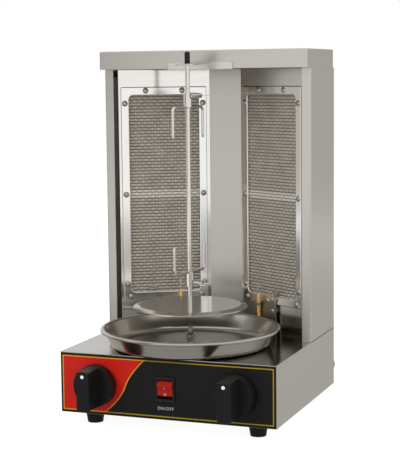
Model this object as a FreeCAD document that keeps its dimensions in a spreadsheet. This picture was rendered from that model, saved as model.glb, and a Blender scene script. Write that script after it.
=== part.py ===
import FreeCAD, Part
import math
import os
import re
import Sketcher

# Table-top doner grill with two gas burners behind a vertical spit.
# Millimetres, +Z up. The origin is on the floor under the middle of the object,
# the control panel faces -Y, and "left" is -X, as the cook sees it.

Vector = FreeCAD.Vector
Rotation = FreeCAD.Rotation

dimensions = {
    "sheet": 1.0,
    "gap": 0.3,
    "snap_gap": 0.1,
    "running_gap": 0.08,
    "base_width": 290.0,
    "base_depth": 265.0,
    "base_height": 78.6,
    "base_lip": 11.0,
    "foot_height": 17.5,
    "foot_top_radius": 12.8,
    "foot_floor_radius": 10.0,
    "foot_spread": 111.5,
    "foot_inset": 31.0,
    "panel_margin": 0.5,
    "back_screw_high": 61.3,
    "back_screw_low": 43.2,
    "back_slot_rise": 30.0,
    "back_slot_height": 3.0,
    "back_slot_pitch": 11.2,
    "bottom_slot_inset": 112.5,
    "tower_setback": 151.5,
    "wall_height": 358.4,
    "wall_flange": 12.3,
    "fold_radius": 1.2,
    "roof_setback": 134.8,
    "roof_depth": 127.0,
    "roof_height": 24.2,
    "roof_return": 14.0,
    "wall_screw_margin": 28.7,
    "vent_drop": 40.0,
    "slot_width": 90.0,
    "slot_height": 6.0,
    "slot_pitch": 14.0,
    "reflector_setback": 230.3,
    "reflector_centre": 22.9,
    "reflector_lip": 12.0,
    "bracket_margin": 10.0,
    "bracket_lap": 4.0,
    "gap_screw_low": 48.4,
    "gap_screw_middle": 174.5,
    "gap_screw_top": 49.1,
    "gap_screw_head": 2.0,
    "gap_screw_height": 1.1,
    "wing_angle": 31.0,
    "wing_length": 126.697,
    "burner_middle": 64.0,
    "frame_foot_gap": 40.25,
    "frame_head_gap": 23.65,
    "frame_width": 119.0,
    "frame_thickness": 2.0,
    "frame_corner": 2.0,
    "frame_rounding": 1.4,
    "window_rounding": 1.0,
    "window_width": 97.0,
    "window_border": 11.25,
    "window_corner": 6.5,
    "net_overlap": 3.0,
    "net_thickness": 1.2,
    "net_wire": 2.2,
    "net_columns": 12,
    "net_rows": 24,
    "plaque_width": 94.0,
    "plaque_cover": 2.0,
    "plaque_thickness": 13.0,
    "plaque_fit": 0.5,
    "plaque_joint": 0.2,
    "tray_wall": 1.5,
    "tray_screw_edge": 2.5,
    "tray_step": 5.0,
    "plenum_depth": 20.0,
    "screw_side_pitch": 108.0,
    "screw_corner": 22.55,
    "screw_top_pitch": 50.4,
    "screw_bottom_pitch": 100.0,
    "screw_edge": 5.3,
    "screw_shank": 2.0,
    "screw_head": 4.0,
    "screw_head_height": 2.2,
    "screw_length": 7.0,
    "screw_recess": 0.22,
    "back_screw_length": 6.0,
    "motor_screw_length": 12.0,
    "bracket_screw_head": 3.2,
    "tube_radius": 10.0,
    "tube_wall": 1.5,
    "tube_drop": 32.0,
    "air_window_width": 8.0,
    "air_window_rise": 8.0,
    "air_window_height": 12.0,
    "jet_radius": 4.0,
    "jet_height": 12.0,
    "jet_nut_height": 6.0,
    "jet_hole_radius": 0.5,
    "knob_spread": 93.0,
    "knob_rise": 39.3,
    "knob_radius": 27.0,
    "knob_skirt": 12.5,
    "knob_reach": 45.5,
    "knob_press": 3.0,
    "knob_spare": 0.5,
    "knob_draft": 0.6,
    "knob_front_wall": 9.0,
    "knob_rounding": 1.6,
    "grip_width": 17.5,
    "grip_end": 25.2,
    "stem_radius": 3.0,
    "stem_hole_radius": 4.5,
    "stem_inside": 12.0,
    "plug_radius": 7.0,
    "plug_length": 21.6,
    "plug_gap": 0.2,
    "plug_port_radius": 1.5,
    "valve_width": 24.0,
    "valve_depth": 28.0,
    "valve_collar": 6.0,
    "valve_wall": 2.0,
    "valve_outlet_depth": 20.0,
    "valve_outlet_drop": 5.0,
    "valve_seat_depth": 3.5,
    "rail_setback": 45.0,
    "rail_radius": 7.0,
    "rail_half": 105.0,
    "pipe_radius": 4.0,
    "supply_radius": 6.0,
    "pipe_wall": 1.2,
    "pipe_rise": 16.0,
    "supply_turn_in": 40.0,
    "supply_turn_out": 22.0,
    "supply_end": 3.0,
    "inlet_spread": 124.0,
    "inlet_rise": 16.5,
    "inlet_hex": 26.0,
    "inlet_nut": 22.0,
    "inlet_thread_radius": 10.48,
    "inlet_reach": 45.5,
    "spigot_length": 10.0,
    "switch_width": 25.4,
    "switch_height": 31.5,
    "switch_bezel": 2.0,
    "switch_lap_x": 1.2,
    "switch_lap_z": 1.7,
    "switch_depth": 22.0,
    "switch_room": 14.0,
    "blade_length": 8.0,
    "blade_pitch": 8.0,
    "blade_half": 3.1,
    "blade_thickness": 0.8,
    "rocker_pivot_depth": 2.5,
    "rocker_swing_gap": 1.4,
    "rocker_ridge": 5.8,
    "rocker_dip": 4.5,
    "rocker_bevel": 4.1,
    "rocker_edge": 0.5,
    "rocker_rounding": 0.8,
    "rocker_back": 3.5,
    "rocker_shoulder": 0.5,
    "rocker_taper": 0.3,
    "rocker_heel": 3.0,
    "rocker_pin_radius": 1.2,
    "rocker_pin_length": 0.7,
    "rocker_width": 20.0,
    "rocker_half": 10.9,
    "rocker_tilt": 10.0,
    "spit_setback": 88.5,
    "spit_radius": 3.0,
    "spit_above": 15.6,
    "shaft_radius": 4.0,
    "bush_radius": 7.5,
    "bush_rise": 3.4,
    "socket_radius": 5.35,
    "socket_height": 13.0,
    "socket_depth": 8.5,
    "socket_flange": 1.1,
    "socket_flange_height": 1.2,
    "socket_flare": 0.7,
    "socket_flare_height": 2.0,
    "socket_screw_radius": 1.5,
    "socket_screw_rise": 3.5,
    "socket_screw_length": 2.4,
    "socket_screw_seat": 1.4,
    "bush_flange": 3.0,
    "bush_flange_height": 2.0,
    "motor_radius": 30.0,
    "motor_can_radius": 24.0,
    "motor_drop": 11.6,
    "gearbox_height": 24.0,
    "motor_height": 48.0,
    "motor_boss_radius": 11.0,
    "motor_boss_height": 5.0,
    "motor_lug_radius": 6.0,
    "motor_lug_height": 16.0,
    "shaft_inside": 20.0,
    "pan_wall_radius": 113.0,
    "pan_flare": 11.0,
    "pan_depth": 24.8,
    "pan_sheet": 0.8,
    "pan_corner": 10.0,
    "pan_bead_radius": 2.2,
    "pan_bead_lap": 0.2,
    "pan_hole_gap": 0.5,
    "disc_radius": 74.7,
    "disc_flat_radius": 66.2,
    "disc_rise": 54.4,
    "disc_sheet": 1.5,
    "disc_bevel": 2.6,
    "disc_hub_radius": 7.0,
    "disc_hub_height": 10.0,
    "fork_wire": 1.8,
    "fork_half": 37.5,
    "fork_turn": 9.5,
    "upper_fork_length": 37.5,
    "lower_fork_length": 34.0,
    "fork_bend": 6.0,
    "prong_point": 2.5,
    "prong_tip_radius": 1.0,
    "clamp_rise": 14.7,
    "clamp_radius": 2.5,
    "hub_radius": 5.6,
    "hub_height": 18.6,
    "upper_fork_drop": 49.0,
    "lower_fork_rise": 96.4,
    "wing_reach": 27.6,
    "wing_half": 9.0,
    "wing_thickness": 1.3,
    "wing_depth": 8.0,
    "wing_neck": 1.5,
    "wing_tip": 3.0,
    "wing_root": 3.4,
    "wing_knee": 4.95,
    "nut_radius": 4.0,
    "nut_front_radius": 3.0,
    "guide_width": 90.0,
    "guide_height": 8.2,
    "guide_sheet": 1.5,
    "tongue_width": 25.0,
    "tongue_reach": 60.0,
    "tongue_fall": 2.9,
    "guide_hole_radius": 4.0,
    "guide_rounding": 2.5,
    "tongue_rounding": 5.0,
    "cap_radius": 3.5,
    "cap_height": 15.5,
    "cap_rounding": 2.8,
    "igniter_along": 44.5,
    "igniter_offset": 8.0,
    "igniter_radius": 2.35,
    "igniter_pin_radius": 0.8,
    "igniter_pin_foot": 4.0,
    "igniter_nose": 3.0,
    "collar_rise": 16.0,
    "collar_height": 3.0,
    "igniter_foot": 22.4,
    "igniter_top": 51.0,
    "igniter_tip": 69.0,
    "bracket_rise": 42.9,
    "bracket_offset": 3.5,
    "bracket_before": 1.0,
    "bracket_after": 31.0,
    "bracket_rounding": 6.0,
    "bracket_screw_along": 24.0,
    "bracket_screw_drop": 10.7,
    "gland_spread": 116.0,
    "gland_rise": 22.0,
    "cord_radius": 3.6,
    "gland_wall": 3.0,
    "gland_dome": 5.0,
    "gland_tip": 2.0,
    "gland_hex_height": 5.0,
    "gland_reach": 18.0,
    "gland_inside": 8.0,
    "terminal_offset": 38.0,
    "terminal_inset": 52.0,
    "terminal_length": 30.0,
    "terminal_depth": 16.0,
    "terminal_height": 13.0,
    "terminal_pitch": 10.0,
    "terminal_hole_radius": 2.0,
}

doc = FreeCAD.newDocument("doner_grill")
size = doc.addObject("Spreadsheet::Sheet", "size")
for row, (name, number) in enumerate(dimensions.items(), 1):
    size.set(f"A{row}", name)
    size.set(f"B{row}", str(number))
    size.setAlias(f"B{row}", name)
doc.recompute()

# Places that several pieces share, as expressions of the sheet's names.
front = "(-base_depth / 2)"
rear = "(base_depth / 2)"
side = "(base_width / 2)"
floor = "foot_height"
deck = "(foot_height + base_height)"
wall_front = f"({front} + tower_setback)"
wall_rear = f"({rear} - sheet)"
wall_top = f"({deck} + wall_height)"
wall_inside = f"({side} - sheet)"
roof_front = f"({front} + roof_setback)"
centre_face = f"({front} + reflector_setback)"
wing_run = "(wing_length * cos(wing_angle))"
wing_tip_x = f"(reflector_centre + {wing_run})"
wing_end = f"({centre_face} - wing_length * sin(wing_angle))"
frame_height = "(wall_height - frame_foot_gap - frame_head_gap)"
window_height = f"({frame_height} - 2 * window_border)"
plaque_height = f"({window_height} / 2 - plaque_cover)"
burner_z = f"({deck} + frame_foot_gap + {frame_height} / 2)"
spit_y = f"({front} + spit_setback)"
knob_z = "(foot_height + knob_rise)"
rail_y = f"({front} + rail_setback)"
inlet_z = "(foot_height + inlet_rise)"
knob_gap = "(knob_press + knob_spare)"
valve_back = f"({front} + 2 * sheet)"
outlet_y = f"({valve_back} + valve_outlet_depth)"
outlet_z = f"({knob_z} - valve_width / 2 - valve_outlet_drop)"
gearbox_top = f"({deck} - motor_drop)"
pan_floor = "(pan_wall_radius - pan_flare)"
lug_x = "(motor_radius + motor_lug_radius / 2)"
gland_z = "(foot_height + gland_rise)"
socket_foot = f"({deck} + bush_rise + gap)"
socket_step = f"({socket_foot} + socket_height - socket_depth)"
switch_opening = (
    ("-switch_width / 2 + switch_lap_x", "switch_width / 2 - switch_lap_x"),
    (f"{knob_z} - switch_height / 2 + switch_lap_z", f"{knob_z} + switch_height / 2 - switch_lap_z"))
bracket_screw = (
    "(igniter_along + bracket_screw_along)", f"({deck} + bracket_rise - bracket_screw_drop)")

# Depths behind the reflector's mirror face, along a wing's own normal.
net_back = "(sheet + net_thickness)"
plaque_front = f"({net_back} + tray_wall)"
plaque_back = f"({plaque_front} + plaque_thickness)"
shelf_back = f"({plaque_back} + tray_wall)"
plenum_back = f"({shelf_back} + plenum_depth)"
tube_in = f"({shelf_back} + plenum_depth / 2)"
tray_half = "(plaque_width / 2 + plaque_fit + tray_wall)"
tray_rise = f"({plaque_height} + plaque_fit + tray_wall)"
plenum_half = f"({tray_half} - tray_step)"
plenum_rise = f"({tray_rise} - tray_step)"
tube_x = f"(reflector_centre + burner_middle * cos(wing_angle) + {tube_in} * sin(wing_angle))"
tube_y = f"({centre_face} - burner_middle * sin(wing_angle) + {tube_in} * cos(wing_angle))"
tube_top = f"({burner_z} - {plenum_rise})"
tube_foot = f"({deck} - tube_drop)"

pieces = []


def link(text):
    """Put the sheet's name in front of each of its aliases."""
    def full(word):
        return "size." + word[0] if word[0] in dimensions else word[0]
    return re.sub(r"[a-z][a-z_]+", full, str(text))


def value(text):
    return float(size.evalExpression(link(text)))


def place(thing, x, y, z):
    for axis, text in zip("xyz", (x, y, z)):
        thing.setExpression(f"Placement.Base.{axis}", link(text))
    return thing


def keep(thing, label):
    thing.Label = label
    pieces.append(thing)
    return thing


def box(name, x, y, z):
    solid = doc.addObject("Part::Box", name)
    for length, (low, high) in zip(("Length", "Width", "Height"), (x, y, z)):
        solid.setExpression(length, link(f"({high}) - ({low})"))
    return place(solid, x[0], y[0], z[0])


turns = {
    "x": Rotation(Vector(0, 1, 0), 90),
    "y": Rotation(Vector(1, 0, 0), -90),
    "z": Rotation(),
    "-x": Rotation(Vector(0, 1, 0), -90),
    "-y": Rotation(Vector(1, 0, 0), 90),
    "-z": Rotation(Vector(1, 0, 0), 180),
}


def cylinder(name, radius, length, at, along="z"):
    solid = doc.addObject("Part::Cylinder", name)
    solid.Placement = FreeCAD.Placement(Vector(), turns[along])
    solid.setExpression("Radius", link(radius))
    solid.setExpression("Height", link(length))
    return place(solid, *at)


def cone(name, start, end, length, at, along="z"):
    solid = doc.addObject("Part::Cone", name)
    solid.Placement = FreeCAD.Placement(Vector(), turns[along])
    solid.setExpression("Radius1", link(start))
    solid.setExpression("Radius2", link(end))
    solid.setExpression("Height", link(length))
    return place(solid, *at)


def hexagon(name, across, length, at, along="z"):
    solid = doc.addObject("Part::Prism", name)
    solid.Polygon = 6
    solid.Placement = FreeCAD.Placement(Vector(), turns[along])
    solid.setExpression("Circumradius", link(f"({across}) / sqrt(3)"))
    solid.setExpression("Height", link(length))
    return place(solid, *at)


def fuse(name, *solids):
    joined = doc.addObject("Part::MultiFuse", name)
    joined.Shapes = list(solids)
    joined.Refine = True
    return joined


def cut(name, base, *tools):
    result = doc.addObject("Part::Cut", name)
    result.Base = base
    result.Tool = tools[0] if len(tools) == 1 else group(name + "_tools", *tools)
    return result


def group(name, *solids):
    together = doc.addObject("Part::Compound", name)
    together.Links = list(solids)
    return together


def mirror(name, source):
    twin = doc.addObject("Part::Mirroring", name)
    twin.Source = source
    twin.Normal = (1, 0, 0)
    return twin


def on_wing(thing):
    """Stand a piece that was drawn along X on the right-hand wing of the reflector."""
    thing.Placement = FreeCAD.Placement(Vector(), Rotation(Vector(0, 0, -1), 1))
    thing.setExpression("Placement.Rotation.Angle", link("wing_angle"))
    return place(thing, "reflector_centre", centre_face, "0")


def both_sides(thing, name):
    """Keep a right-hand piece and its mirror image on the left."""
    keep(thing, "right_" + name)
    keep(mirror("left_" + name, thing), "left_" + name)
    return thing


def sketch(body, name, plane, points=(), circles=()):
    """A fully tied sketch: closed outline through points, then circles."""
    drawing = body.newObject("Sketcher::SketchObject", name)
    support = [item for item in body.Origin.OriginFeatures if item.Role == plane]
    drawing.AttachmentSupport = [(support[0], "")]
    drawing.MapMode = "FlatFace"
    spots = [Vector(value(x), value(y), 0) for x, y in points]
    count = len(spots)
    for index, spot in enumerate(spots):
        drawing.addGeometry(Part.LineSegment(spot, spots[(index + 1) % count]))
    for index, point in enumerate(points):
        drawing.addConstraint(Sketcher.Constraint("Coincident", index, 2, (index + 1) % count, 1))
        tie(drawing, index, 1, point)
    for x, y, radius in circles:
        centre = Vector(value(x), value(y), 0)
        index = drawing.addGeometry(Part.Circle(centre, Vector(0, 0, 1), value(radius)))
        tie(drawing, index, 3, (x, y))
        number = drawing.addConstraint(Sketcher.Constraint("Radius", index, value(radius)))
        drawing.setExpression(f"Constraints[{number}]", link(radius))
    return drawing


def tie(drawing, index, end, point):
    for kind, text in zip(("DistanceX", "DistanceY"), point):
        number = drawing.addConstraint(Sketcher.Constraint(kind, index, end, value(text)))
        drawing.setExpression(f"Constraints[{number}]", link(text))


def rectangle(x, y):
    return [(x[0], y[0]), (x[1], y[0]), (x[1], y[1]), (x[0], y[1])]


def pad(body, drawing, length, both_ways=False):
    feature = body.newObject("PartDesign::Pad", drawing.Name + "_pad")
    feature.Profile = drawing
    feature.Midplane = both_ways
    feature.setExpression("Length", link(length))
    drawing.Visibility = False
    return feature


def pocket(body, drawing):
    """Cut right through, both ways from the drawing's plane."""
    feature = body.newObject("PartDesign::Pocket", drawing.Name + "_pocket")
    feature.Profile = drawing
    feature.Type = "ThroughAll"
    feature.Midplane = True
    return feature


def row_of(body, feature, drawing, axis, count, length):
    """Repeat a pocket along one axis of its drawing."""
    pattern = body.newObject("PartDesign::LinearPattern", feature.Name + "_row")
    pattern.Originals = [feature]
    pattern.Direction = (drawing, [axis])
    pattern.Occurrences = count
    pattern.setExpression("Length", link(length))
    body.Tip = pattern
    return pattern


def soften(body, name, radius, wanted):
    """Fillet the edges of the body's last feature that pass the test."""
    doc.recompute()
    base = body.Tip
    edges = [f"Edge{n}" for n, edge in enumerate(base.Shape.Edges, 1) if wanted(edge)]
    feature = body.newObject("PartDesign::Fillet", name)
    feature.Base = (base, edges)
    feature.setExpression("Radius", link(radius))
    return feature


def runs_along(edge, axis):
    """True for a straight edge parallel to the axis."""
    if len(edge.Vertexes) != 2 or edge.Curve.TypeId != "Part::GeomLine":
        return False
    return abs(edge.Curve.Direction.dot(axis)) > 0.999


def stands_at(edge, x, y):
    """True for an upright edge at the given place in plan."""
    middle = edge.CenterOfMass
    return runs_along(edge, Vector(0, 0, 1)) and abs(middle.x - value(x)) + abs(middle.y - value(y)) < 0.01


def rounded(name, solid, radius, wanted):
    """Round the edges of a finished solid that pass the test."""
    doc.recompute()
    result = doc.addObject("Part::Fillet", name)
    result.Base = solid
    result.Edges = [
        (number, value(radius), value(radius)) for number, edge in enumerate(solid.Shape.Edges, 1) if wanted(edge)]
    return result


def revolved(name, outline):
    """A turned piece: outline of (radius, height) about its own Z axis."""
    body = doc.addObject("PartDesign::Body", name)
    drawing = sketch(body, name + "_profile", "XZ_Plane", outline)
    feature = body.newObject("PartDesign::Revolution", name + "_turned")
    feature.Profile = drawing
    feature.ReferenceAxis = (drawing, ["V_Axis"])
    feature.Angle = 360
    return body


def rounded_path(points, bend):
    """Straight runs joined by tangent arcs."""
    edges = []
    start = points[0]
    for before, corner, after in zip(points, points[1:], points[2:]):
        back = (before - corner).normalize()
        ahead = (after - corner).normalize()
        half = math.acos(max(-1.0, min(1.0, back.dot(ahead)))) / 2
        reach = bend / math.tan(half)
        first = corner + back * reach
        last = corner + ahead * reach
        middle = (back + ahead).normalize()
        centre = corner + middle * (bend / math.sin(half))
        edges.append(Part.LineSegment(start, first).toShape())
        edges.append(Part.Arc(first, centre - middle * bend, last).toShape())
        start = last
    edges.append(Part.LineSegment(start, points[-1]).toShape())
    return Part.Wire(edges)


def swept(points, radius, bend):
    path = rounded_path(points, bend)
    heading = points[1] - points[0]
    section = Part.Wire([Part.Circle(points[0], heading, radius).toShape()])
    return path.makePipeShell([section], True, False)


def spot(x, y, z):
    return Vector(value(x), value(y), value(z))


def feature(name, shape):
    thing = doc.addObject("Part::Feature", name)
    thing.Shape = shape
    return thing


def screw(at, heading, head, head_height, shank, length):
    """Pan-head screw with a cross recess: the head's seat is at the given spot."""
    dome = (head ** 2 + head_height ** 2) / (2 * head_height)
    ball = Part.makeSphere(dome, Vector(0, 0, head_height - dome))
    body = ball.common(Part.makeCylinder(head, head_height))
    recess = head * value("screw_recess")
    for width, depth in ((head, recess), (recess, head)):
        slot = Part.makeBox(width, depth, head_height, Vector(-width / 2, -depth / 2, head_height / 2))
        body = body.cut(slot)
    body = body.fuse(Part.makeCylinder(shank, length, Vector(), Vector(0, 0, -1)))
    body.Placement = FreeCAD.Placement(at, Rotation(Vector(0, 0, 1), heading))
    return body


# Base

def base_housing():
    shell = fuse(
        "housing_block",
        box("deck_plate", (f"-{side}", side), (front, rear), (f"{deck} - sheet", deck)),
        box("housing_walls", (f"-{side}", side), (f"{front} + sheet", rear), (floor, deck)))
    inside = box(
        "housing_room", (f"-{wall_inside}", wall_inside),
        (f"{front} + 2 * sheet", rear), (f"{floor} - sheet", f"{deck} - sheet"))
    lips = [
        box(f"rear_lip_{n}", edges, (f"{rear} - 2 * sheet", f"{rear} - sheet"), (floor, f"{deck} - sheet"))
        for n, edges in enumerate((
            (f"-{wall_inside}", f"-{wall_inside} + base_lip"),
            (f"{wall_inside} - base_lip", wall_inside)))]
    shell = fuse("housing_shell", cut("housing_tray", shell, inside), *lips)
    holes = [
        cylinder("bush_hole", "bush_radius + running_gap", "3 * sheet", ("0", spit_y, f"{deck} - 2 * sheet")),
        box("switch_hole", switch_opening[0], (front, f"{front} + 3 * sheet"), switch_opening[1]),
    ]
    countersink = f"({deck} - (screw_head - screw_shank))"
    for n, sign in enumerate(("-", "")):
        holes += [
            cylinder(f"tube_hole_{n}", "tube_radius + gap", "3 * sheet",
                     (f"{sign}{tube_x}", tube_y, f"{deck} - 2 * sheet")),
            cylinder(f"stem_hole_{n}", "stem_hole_radius", "4 * sheet",
                     (f"{sign}knob_spread", front, knob_z), "y"),
            cone(f"motor_screw_hole_{n}", "screw_shank + running_gap", "screw_head + running_gap",
                 "screw_head - screw_shank", (f"{sign}{lug_x}", spit_y, countersink)),
        ]
    for n, at in enumerate(rear_screw_spots()):
        holes.append(cylinder(f"lip_hole_{n}", "screw_shank", "4 * sheet", at, "-y"))
    keep(cut("base_housing", shell, *holes), "base_housing")


def rear_screw_spots():
    """Four screws that hold the base's back panel to the housing's rear lips."""
    return [
        (f"{sign}({wall_inside} - base_lip / 2)", f"{rear} + sheet", f"{floor} + {rise}")
        for sign in ("-", "") for rise in ("back_screw_high", "back_screw_low")]


def control_panel():
    body = doc.addObject("PartDesign::Body", "control_panel")
    half = f"({side} - panel_margin)"
    outline = rectangle((f"-{half}", half), (f"{floor} + panel_margin", f"{deck} - sheet"))
    pad(body, sketch(body, "panel_outline", "XZ_Plane", outline), "sheet")
    pocket(body, sketch(body, "panel_switch", "XZ_Plane", rectangle(*switch_opening)))
    stems = [(f"{sign}knob_spread", knob_z, "stem_hole_radius") for sign in ("-", "")]
    pocket(body, sketch(body, "panel_stems", "XZ_Plane", circles=stems))
    place(body, "0", f"{front} + sheet", "0")
    keep(body, "control_panel")


def foot_spots():
    return {
        "front_left": ("-foot_spread", f"({front} + foot_inset)"),
        "front_right": ("foot_spread", f"({front} + foot_inset)"),
        "rear_left": ("-foot_spread", f"({rear} - foot_inset)"),
        "rear_right": ("foot_spread", f"({rear} - foot_inset)"),
    }


def feet():
    for name, (x, y) in foot_spots().items():
        rubber = cone(name + "_rubber", "foot_floor_radius", "foot_top_radius", "foot_height", (x, y, "0"))
        well = cylinder(name + "_well", "screw_head + sheet", "foot_height / 2", (x, y, "0"))
        hole = cylinder(name + "_hole", "screw_shank", "foot_height", (x, y, "0"))
        keep(cut(name + "_foot", rubber, well, hole), name + "_foot")


def bottom_plate():
    body = doc.addObject("PartDesign::Body", "bottom_plate")
    half = wall_inside
    ends = (f"({front} + 2 * sheet)", f"({rear} - 2 * sheet - gap)")
    pad(body, sketch(body, "bottom_outline", "XY_Plane", rectangle((f"-{half}", half), ends)), "base_lip")
    doc.recompute()
    inside = rectangle((f"-{half} + sheet", f"{half} - sheet"), (f"{ends[0]} - sheet", f"{ends[1]} + sheet"))
    room = sketch(body, "bottom_room", "XY_Plane", inside)
    room.AttachmentOffset = FreeCAD.Placement(Vector(0, 0, value("sheet")), Rotation())
    room.setExpression("AttachmentOffset.Base.z", link("sheet"))
    hollow = body.newObject("PartDesign::Pocket", "bottom_hollow")
    hollow.Profile = room
    hollow.Reversed = True
    hollow.setExpression("Length", link("base_lip"))
    holes = [(x, y, "screw_shank") for x, y in foot_spots().values()]
    pocket(body, sketch(body, "foot_holes", "XY_Plane", circles=holes))
    slot_y = f"({rear} - bottom_slot_inset)"
    slot = rectangle(("-slot_width / 2", "slot_width / 2"), (slot_y, f"{slot_y} + slot_height"))
    drawing = sketch(body, "air_slot", "XY_Plane", slot)
    row_of(body, pocket(body, drawing), drawing, "V_Axis", 6, "5 * slot_pitch")
    place(body, "0", "0", floor)
    keep(body, "bottom_plate")


def base_back_panel():
    body = doc.addObject("PartDesign::Body", "base_back_panel")
    half = f"({wall_inside} - gap)"
    outline = rectangle((f"-{half}", half), (f"{floor} + gap", f"{deck} - sheet - gap"))
    pad(body, sketch(body, "back_outline", "XZ_Plane", outline), "sheet")
    holes = [
        ("inlet_spread", inlet_z, "supply_radius + valve_wall"),
        ("-gland_spread", gland_z, "cord_radius + gland_wall")]
    holes += [(x, z, "screw_shank") for x, _, z in rear_screw_spots()]
    pocket(body, sketch(body, "back_holes", "XZ_Plane", circles=holes))
    slot = rectangle(
        ("-slot_width / 2", "slot_width / 2"),
        (f"{floor} + back_slot_rise", f"{floor} + back_slot_rise + back_slot_height"))
    drawing = sketch(body, "back_slot", "XZ_Plane", slot)
    row_of(body, pocket(body, drawing), drawing, "V_Axis", 3, "2 * back_slot_pitch")
    place(body, "0", rear, "0")
    keep(body, "base_back_panel")


# Tower

def side_wall():
    body = doc.addObject("PartDesign::Body", "wall_profile_body")
    edge = f"({side} - wall_flange)"
    plan = [
        (edge, wall_front), (side, wall_front), (side, wall_rear), (edge, wall_rear),
        (edge, f"{wall_rear} - sheet"), (wall_inside, f"{wall_rear} - sheet"),
        (wall_inside, f"{wall_front} + sheet"), (edge, f"{wall_front} + sheet")]
    pad(body, sketch(body, "wall_plan", "XY_Plane", plan), "wall_height")
    soften(body, "wall_fold_outside", "fold_radius + sheet", lambda edge: stands_at(edge, side, wall_front))
    soften(body, "wall_fold_inside", "fold_radius",
           lambda edge: stands_at(edge, wall_inside, f"{wall_front} + sheet"))
    place(body, "0", "0", deck)
    clear = f"max({edge}; {wing_tip_x} + gap)"
    flanges = [
        box("wall_foot", (clear, wall_inside), (f"{wall_front} + sheet", f"{wall_rear} - sheet"),
            (deck, f"{deck} + sheet")),
        box("wall_head", (clear, wall_inside), (f"{wall_front} + sheet", f"{wall_rear} - sheet"),
            (f"{wall_top} - sheet", wall_top))]
    holes = [
        cylinder(f"wall_hole_{n}", "screw_shank", "4 * sheet", at, "-y")
        for n, at in enumerate(back_screw_spots()) if n >= 3]
    both_sides(cut("wall_right", fuse("wall_folded", body, *flanges), *holes), "side_wall")


def back_screw_spots():
    """Three screws a side that hold the tower's back panel to the walls."""
    rises = ("wall_screw_margin", "wall_height / 2", "(wall_height - wall_screw_margin)")
    return [
        (f"{sign}({side} - wall_flange / 2)", f"{rear} + sheet", f"{deck} + {rise}")
        for sign in ("-", "") for rise in rises]


def tower_back_panel():
    body = doc.addObject("PartDesign::Body", "tower_back_panel")
    outline = rectangle((f"-{side}", side), (deck, wall_top))
    pad(body, sketch(body, "tower_back_outline", "XZ_Plane", outline), "sheet")
    holes = [(x, z, "screw_shank") for x, _, z in back_screw_spots()]
    pocket(body, sketch(body, "tower_back_holes", "XZ_Plane", circles=holes))
    slot = rectangle(
        ("-slot_width / 2", "slot_width / 2"),
        (f"{wall_top} - vent_drop", f"{wall_top} - vent_drop + slot_height"))
    drawing = sketch(body, "vent_slot", "XZ_Plane", slot)
    vents = row_of(body, pocket(body, drawing), drawing, "V_Axis", 8, "7 * slot_pitch")
    vents.Reversed = True
    place(body, "0", rear, "0")
    keep(body, "tower_back_panel")


def roof_cover():
    span = (f"-{side}", side)
    depth = (roof_front, f"{roof_front} + roof_depth")
    block = box("roof_block", span, depth, (wall_top, f"{wall_top} + roof_height"))
    cap = rounded("roof_folded", block, "fold_radius + sheet",
                  lambda edge: edge.CenterOfMass.z > value(wall_top) + 0.01)
    inside = box(
        "roof_room", (f"-{side} + sheet", f"{side} - sheet"),
        (f"{roof_front} + sheet", f"{depth[1]} - sheet"),
        (f"{wall_top} + sheet", f"{wall_top} + roof_height - sheet"))
    room = rounded("roof_room_folded", inside, "fold_radius",
                   lambda edge: edge.CenterOfMass.z > value(f"{wall_top} + sheet") + 0.01)
    mouth = box(
        "roof_mouth", (f"-{side} + roof_return", f"{side} - roof_return"),
        (f"{roof_front} + roof_return", f"{depth[1]} - roof_return"),
        (f"{wall_top} - sheet", f"{wall_top} + 2 * sheet"))
    keep(cut("roof_cover", cap, room, mouth), "roof_cover")


def spit_guide():
    """Bright plate on the roof's front edge, with a tongue that holds the spit upright."""
    body = doc.addObject("PartDesign::Body", "guide_tongue")
    top = f"({wall_top} + guide_height)"
    tongue_end = f"({roof_front} - tongue_reach)"
    low = f"({top} - tongue_fall)"
    profile = [
        (roof_front, f"{top} - guide_sheet"), (roof_front, top), (tongue_end, low),
        (tongue_end, f"{low} - guide_sheet")]
    pad(body, sketch(body, "tongue_side", "YZ_Plane", profile), "tongue_width", True)
    soften(body, "tongue_corners", "tongue_rounding",
           lambda edge: edge.CenterOfMass.y < value(tongue_end) + 0.01 and runs_near_z(edge))
    plate = doc.addObject("PartDesign::Body", "guide_plate")
    half = "(guide_width / 2)"
    outline = rectangle((f"-{half}", half), (wall_top, top))
    pad(plate, sketch(plate, "plate_outline", "XZ_Plane", outline), "guide_sheet")
    soften(plate, "plate_corners", "guide_rounding",
           lambda edge: runs_along(edge, Vector(0, 1, 0)) and edge.CenterOfMass.z > value(top) - 0.01)
    place(plate, "0", roof_front, "0")
    lip = box("guide_lip", (f"-{half}", half), (f"{roof_front} - guide_sheet", f"{roof_front} + roof_return"),
              (f"{wall_top} - sheet", wall_top))
    hole = cylinder("guide_hole", "guide_hole_radius", "4 * guide_height",
                    ("0", spit_y, f"{top} - 2 * guide_height"))
    keep(cut("spit_guide", fuse("guide_folded", body, plate, lip), hole), "spit_guide")


def runs_near_z(edge):
    """True for a straight edge that stands within a few degrees of upright."""
    if len(edge.Vertexes) != 2 or edge.Curve.TypeId != "Part::GeomLine":
        return False
    return abs(edge.Curve.Direction.z) > 0.9


# Reflector and burners

def burner_screw_spots():
    """Along and up a burner frame, measured from its middle."""
    top = f"({frame_height} / 2 - screw_edge)"
    corner = f"({frame_height} / 2 - screw_corner)"
    spots = [(f"{sign}screw_top_pitch / 2", top) for sign in ("-", "")]
    spots += [(f"{sign}screw_bottom_pitch / 2", f"-{top}") for sign in ("-", "")]
    for sign in ("-", ""):
        for rise in (f"-{corner}", "0", corner):
            spots.append((f"{sign}screw_side_pitch / 2", rise))
    return spots


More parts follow.
